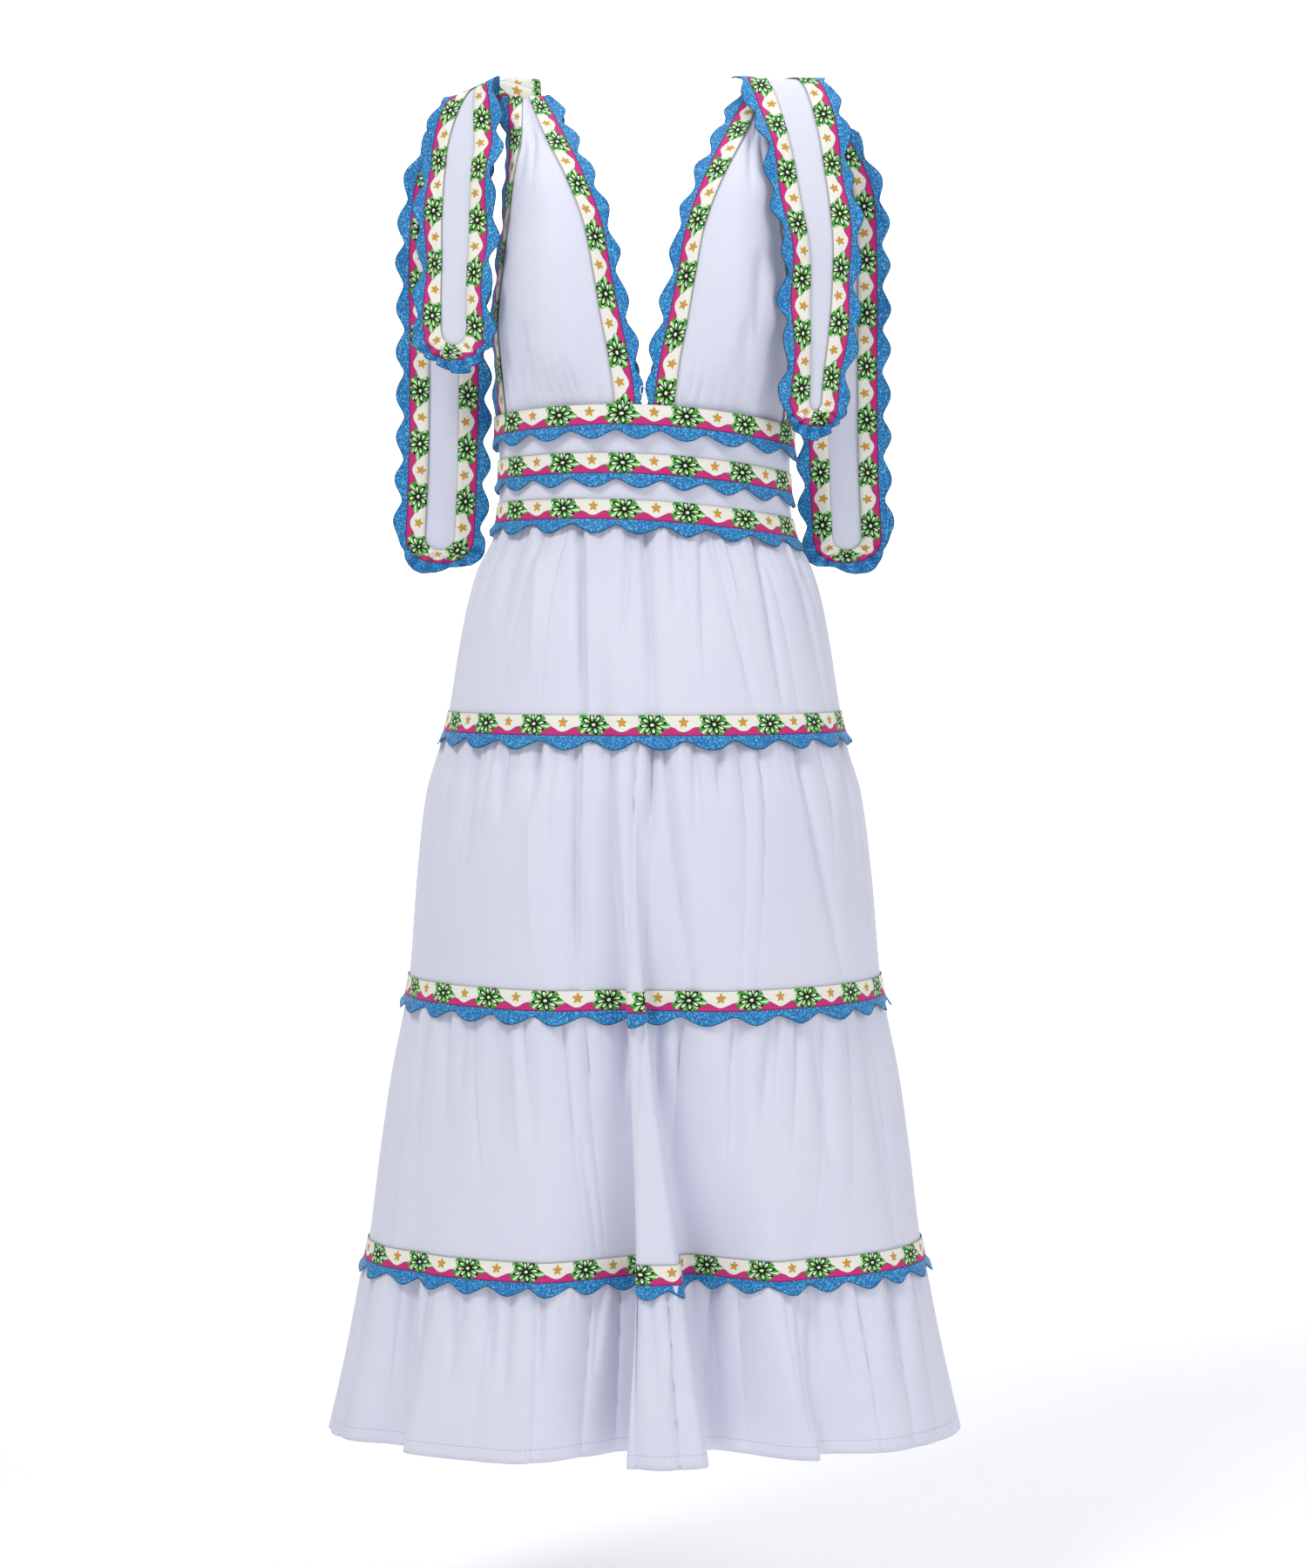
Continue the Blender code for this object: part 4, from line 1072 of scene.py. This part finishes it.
class Tie:
    """The middle line of a tie end, with a flat pattern laid along it: s down its length, w across it."""

    def __init__(self, rows):
        self.rows = rows
        self.points = [Vector((row.x, row.y, row.z)) for row in rows]
        self.lengths = [0.0]
        for a, b in zip(self.points, self.points[1:]):
            self.lengths.append(self.lengths[-1] + (b - a).length)
        self.length = self.lengths[-1]

    def place(self, s):
        i = 0
        while i < len(self.rows) - 2 and self.lengths[i + 1] < s:
            i += 1
        return i, (s - self.lengths[i]) / (self.lengths[i + 1] - self.lengths[i])

    def half_width(self, s):
        i, share = self.place(s)
        share = min(1.0, share)
        return self.rows[i].half_width * (1 - share) + self.rows[i + 1].half_width * share

    def frame(self, s):
        """Middle point, direction across and outward direction, smoothed over the rows' corners."""
        i, share = self.place(s)
        a, b = self.points[i], self.points[i + 1]
        before = self.points[max(0, i - 1)]
        after = self.points[min(len(self.points) - 1, i + 2)]
        t = min(1.0, share)
        start = (b - before) * 0.5
        end = (after - a) * 0.5
        middle = (
            a * (2 * t**3 - 3 * t**2 + 1)
            + start * (t**3 - 2 * t**2 + t)
            + b * (3 * t**2 - 2 * t**3)
            + end * (t**3 - t**2)
        )
        down = (start.lerp(end, t)).normalized()
        if share > 1.0:
            middle += down * (share - 1.0) * (b - a).length
        turn = self.rows[i].turn * (1 - t) + self.rows[i + 1].turn * t
        across = Vector((math.cos(math.radians(turn)), math.sin(math.radians(turn)), 0.0))
        across = (across - down * across.dot(down)).normalized()
        return middle, across, down.cross(across)


def tie_lift(s, w, half, phase):
    """Gentle waves of a hanging tie, strongest along its edges."""
    edge = (w / max(half, 0.004)) ** 2
    return 0.0034 * edge * math.sin(s * 2 * math.pi / 0.095 + phase + (1.4 if w > 0 else 0.0)) * min(1.0, s / 0.06)


def tie_point(tie, s, w, gap, phase):
    middle, across, outward = tie.frame(s)
    half = tie.half_width(min(s, tie.length))
    return middle + across * w + outward * (gap + tie_lift(s, w, half, phase)), outward


def build_tie(name, rows, looks):
    """A tie end: its cotton panel with a rounded foot, and a border trim round its edge."""
    tie = Tie(rows)
    phase = 1.7 * len(name)
    radius = tie.rows[-1].half_width
    straight = tie.length - radius
    tuck = 0.006
    row_count, column_count = 84, 22
    grid, uv = [], []
    for i in range(row_count + 1):
        s = (tie.length - tuck) * i / row_count
        half = tie.half_width(min(s, straight))
        if s > straight:
            half = math.sqrt(max(0.0, radius**2 - (s - straight) ** 2))
        half = max(0.0012, half - tuck if half > 2 * tuck else half * 0.5)
        line, line_uv = [], []
        for j in range(column_count + 1):
            w = half * (2 * j / column_count - 1)
            point, _ = tie_point(tie, s, w, 0.0, phase)
            line.append(point[:])
            line_uv.append((w, -s))
        grid.append(line)
        uv.append(line_uv)
    grid = np.array(grid)
    piece = new_piece(f"cloth_{name}", grid, grid_faces(*grid.shape[:2]), np.array(uv), [looks["cotton"]])
    thicken(piece, 0.0006)
    widest = 2 * max(row.half_width for row in rows) + SEAM_ALLOWANCE
    flat = (round(widest, 3), round(tie.length, 2))
    settle(piece, "white_cotton", f"{name}_panel", flat=flat, held="hung", area=round(0.8 * flat[0] * flat[1], 4))

    places = []
    side_steps, end_steps = 116, 60
    for k in range(side_steps + 1):
        s = straight * k / side_steps
        half = tie.half_width(s)
        ribbon = min(RIBBON_WIDTH, 0.80 * half)
        places.append((s, -half, s, ribbon - half))
    for k in range(1, end_steps):
        turn = math.pi * k / end_steps
        down, across = math.sin(turn), -math.cos(turn)
        inner = radius - min(RIBBON_WIDTH, 0.80 * radius)
        places.append((straight + radius * down, radius * across, straight + inner * down, inner * across))
    places += [(s, -w, inner_s, -inner_w) for s, w, inner_s, inner_w in reversed(places[: side_steps + 1])]
    tops, edges, outs, normals = [], [], [], []
    for k, (s, w, inner_s, inner_w) in enumerate(places):
        at_end = max(0.0, 1.0 - abs(k - len(places) / 2) / (0.62 * end_steps))
        pleat = 0.0030 * min(1.0, 2 * at_end) * math.sin(k * 2 * math.pi / 8.5)
        edge, outward = tie_point(tie, s, w, TRIM_GAP + pleat, phase)
        inner, _ = tie_point(tie, inner_s, inner_w, TRIM_GAP + 0.0004, phase)
        tops.append(inner[:])
        edges.append(edge[:])
        outs.append((edge - inner).normalized()[:])
        normals.append(outward[:])
    place_edge_trim(
        f"{name}_trim", np.array(tops), np.array(edges), np.array(outs), np.array(normals), looks
    )


def build_knot(knot, looks):
    """A knot: creased cotton wrapped by two turns of the strap with its border trim."""
    rows, columns = 40, 80
    up = np.linspace(0.5 * math.pi, -0.5 * math.pi, rows)[:, None]
    turn = np.linspace(0.0, 2 * math.pi, columns + 1)[None, :]
    ripple = 1.0 + 0.05 * np.sin(turn * 3 + 4 * up) + 0.03 * np.sin(turn * 7 - 6 * up)
    x = np.sign(np.cos(turn)) * np.abs(np.cos(turn)) ** 0.8 * np.cos(up) ** 0.6 * ripple
    y = np.sign(np.sin(turn)) * np.abs(np.sin(turn)) ** 0.8 * np.cos(up) ** 0.6 * ripple
    z = np.sin(up) * (1.0 + 0.04 * np.sin(turn * 4)) + 0.0 * turn
    half = np.array([knot.half_width, KNOT_HALF_DEPTH, knot.half_height]) * 0.90
    points = np.stack([x, y, z], axis=-1) * half + np.array([knot.x, 0.0, knot.z])
    uv = np.stack([turn * 0.02 + 0.0 * up, up * 0.015 + 0.0 * turn], axis=-1)
    core = new_piece(f"cloth_{knot.name}", points, grid_faces(rows, columns + 1), uv, [looks["cotton"]])
    settle(core, "white_cotton", knot.name, flat=(0.08, 0.06), held="folded")
    for number, (tilt, shift) in enumerate(((14.0, 0.0030), (-32.0, -0.0020))):
        angles = np.linspace(0.0, 2 * math.pi, 161)
        lean = math.radians(tilt)
        ring = np.stack([np.cos(angles), np.sin(angles)], axis=-1)
        ring = np.sign(ring) * np.abs(ring) ** 0.85
        lines = []
        for across in (0.0095, -0.0085):
            bulge = 1.0 - (across / 0.030) ** 2
            x = ring[:, 0] * (knot.half_width * (0.97 + 0.03 * number)) * bulge
            y = ring[:, 1] * (KNOT_HALF_DEPTH * (0.98 + 0.04 * number)) * bulge
            z = across + shift + x * math.tan(lean) * 0.35 + 0.001 * np.sin(angles * 3 + number)
            lines.append(np.stack([x + knot.x, y, z + knot.z], axis=-1))
        tops, edges = lines
        outs = (edges - tops) / np.linalg.norm(edges - tops, axis=1, keepdims=True)
        normals = np.stack([ring[:, 0], ring[:, 1], np.zeros(161)], axis=-1)
        piece, whole, _ = trim_piece(
            f"wrap_{knot.name}_{number + 1}",
            tops,
            edges,
            outs * 0.35,
            normals,
            3,
            2.0,
            PRINT_REPEAT_EDGE,
            [looks["edge print"], looks["edging"]],
            5 + number,
        )
        settle(piece, "border_trim", knot.name, flat=(round(whole, 2), 0.028), held="folded")


def build_thread_loop(looks):
    """The small thread loop that closes the foot of the V."""
    curve = bpy.data.curves.new("thread_loop", "CURVE")
    curve.dimensions = "3D"
    curve.bevel_depth = 0.0006
    curve.bevel_resolution = 3
    spline = curve.splines.new("NURBS")
    centre = Vector((-0.0018, -0.1110, -0.2660))
    count = 12
    spline.points.add(count - 1)
    for k in range(count):
        turn = 2 * math.pi * k / count
        spline.points[k].co = (*(centre + Vector((0.0020 * math.cos(turn), 0.0004, 0.0040 * math.sin(turn)))), 1.0)
    spline.use_cyclic_u = True
    curve.materials.append(looks["thread"])
    loop = bpy.data.objects.new("thread_loop", curve)
    bpy.context.scene.collection.objects.link(loop)
    settle(loop, "white_cotton")


# Floor, light and camera


def add_area_light(name, place, aim, size, power, colour=(1.0, 1.0, 1.0)):
    light = bpy.data.lights.new(name, "AREA")
    light.shape = "RECTANGLE"
    light.size, light.size_y = size
    light.energy = power
    light.color = colour
    obj = bpy.data.objects.new(name, light)
    obj.location = place
    obj.rotation_euler = (Vector(aim) - Vector(place)).to_track_quat("-Z", "Y").to_euler()
    obj.visible_camera = False
    bpy.context.scene.collection.objects.link(obj)


def build_stage():
    """A plain pale floor that curves up into a plain backdrop."""
    profile = []
    floor_z, wall_y, radius = -1.42, 9.0, 2.4
    profile.append((-9.0, floor_z))
    profile.append((wall_y - radius, floor_z))
    for k in range(1, 24):
        turn = 0.5 * math.pi * k / 24
        profile.append((wall_y - radius + radius * math.sin(turn), floor_z + radius * (1 - math.cos(turn))))
    profile.append((wall_y, 7.0))
    points = []
    for x in (-9.0, 9.0):
        points += [(x, y, z) for y, z in profile]
    count = len(profile)
    faces = [(k, count + k, count + k + 1, k + 1) for k in range(count - 1)]
    mesh = bpy.data.meshes.new("floor")
    mesh.from_pydata(points, [], faces)
    mesh.shade_smooth()
    made, tree, shader = new_material("pale_paper", 0.95, specular=0.1)
    shader.inputs["Emission Color"].default_value = (1.0, 1.0, 1.0, 1.0)
    shader.inputs["Emission Strength"].default_value = 0.22
    colour = mixed(tree, noise(tree, 3.0, 2.0) * 0.3, (246, 246, 248), (240, 240, 243))
    tree.links.new(colour, shader.inputs["Base Color"])
    mesh.materials.append(made)
    floor = bpy.data.objects.new("floor", mesh)
    bpy.context.scene.collection.objects.link(floor)


def light_and_camera():
    world = bpy.data.worlds.new("soft_white")
    bpy.context.scene.world = world
    world.use_nodes = True
    background = world.node_tree.nodes["Background"]
    background.inputs["Color"].default_value = (0.93, 0.95, 1.0, 1.0)
    background.inputs["Strength"].default_value = 0.37
    add_area_light("key", (-1.3, -2.0, 1.9), (0.0, 0.0, -0.45), (0.9, 0.9), 46.0)
    add_area_light("fill", (2.2, -2.2, 0.6), (0.0, 0.0, -0.6), (1.6, 1.8), 24.0, (0.97, 0.97, 1.0))
    add_area_light("top", (0.2, 0.2, 2.0), (0.0, 0.0, -0.5), (1.6, 1.6), 22.0)
    add_area_light("backdrop", (0.0, 5.2, 3.6), (0.0, 9.0, 0.0), (8.0, 2.0), 520.0)
    camera = bpy.data.cameras.new("photo_view")
    camera.lens = 82.5
    camera.sensor_width = 36.0
    camera.clip_end = 50.0
    obj = bpy.data.objects.new("photo_view", camera)
    obj.location = (0.008, -3.3, -0.46)
    tilt = math.atan((899.5 - 700.0) * 0.0008 / 3.3)
    obj.rotation_euler = (math.pi / 2 - tilt, 0.0, 0.0)
    bpy.context.scene.collection.objects.link(obj)
    bpy.context.scene.camera = obj
    bpy.context.scene.view_settings.view_transform = "Standard"
    bpy.context.scene.view_settings.look = "None"


def main():
    looks = {
        "cotton": cotton_material("white_poplin"),
        "hem cotton": cotton_material("white_poplin_hemmed", hem=True),
        "print": print_material("daisy_ribbon", PRINT_REPEAT),
        "edge print": print_material("daisy_ribbon_narrow", PRINT_REPEAT_EDGE),
        "edging": edging_material("scalloped_edging"),
        "thread": thread_material("white_thread"),
    }
    build_bodice(looks)
    build_waist(looks)
    build_skirt(looks)
    for knot in KNOTS:
        build_knot(knot, looks)
    for name, rows in TIES.items():
        build_tie(name, rows, looks)
    build_thread_loop(looks)
    build_stage()
    light_and_camera()


main()
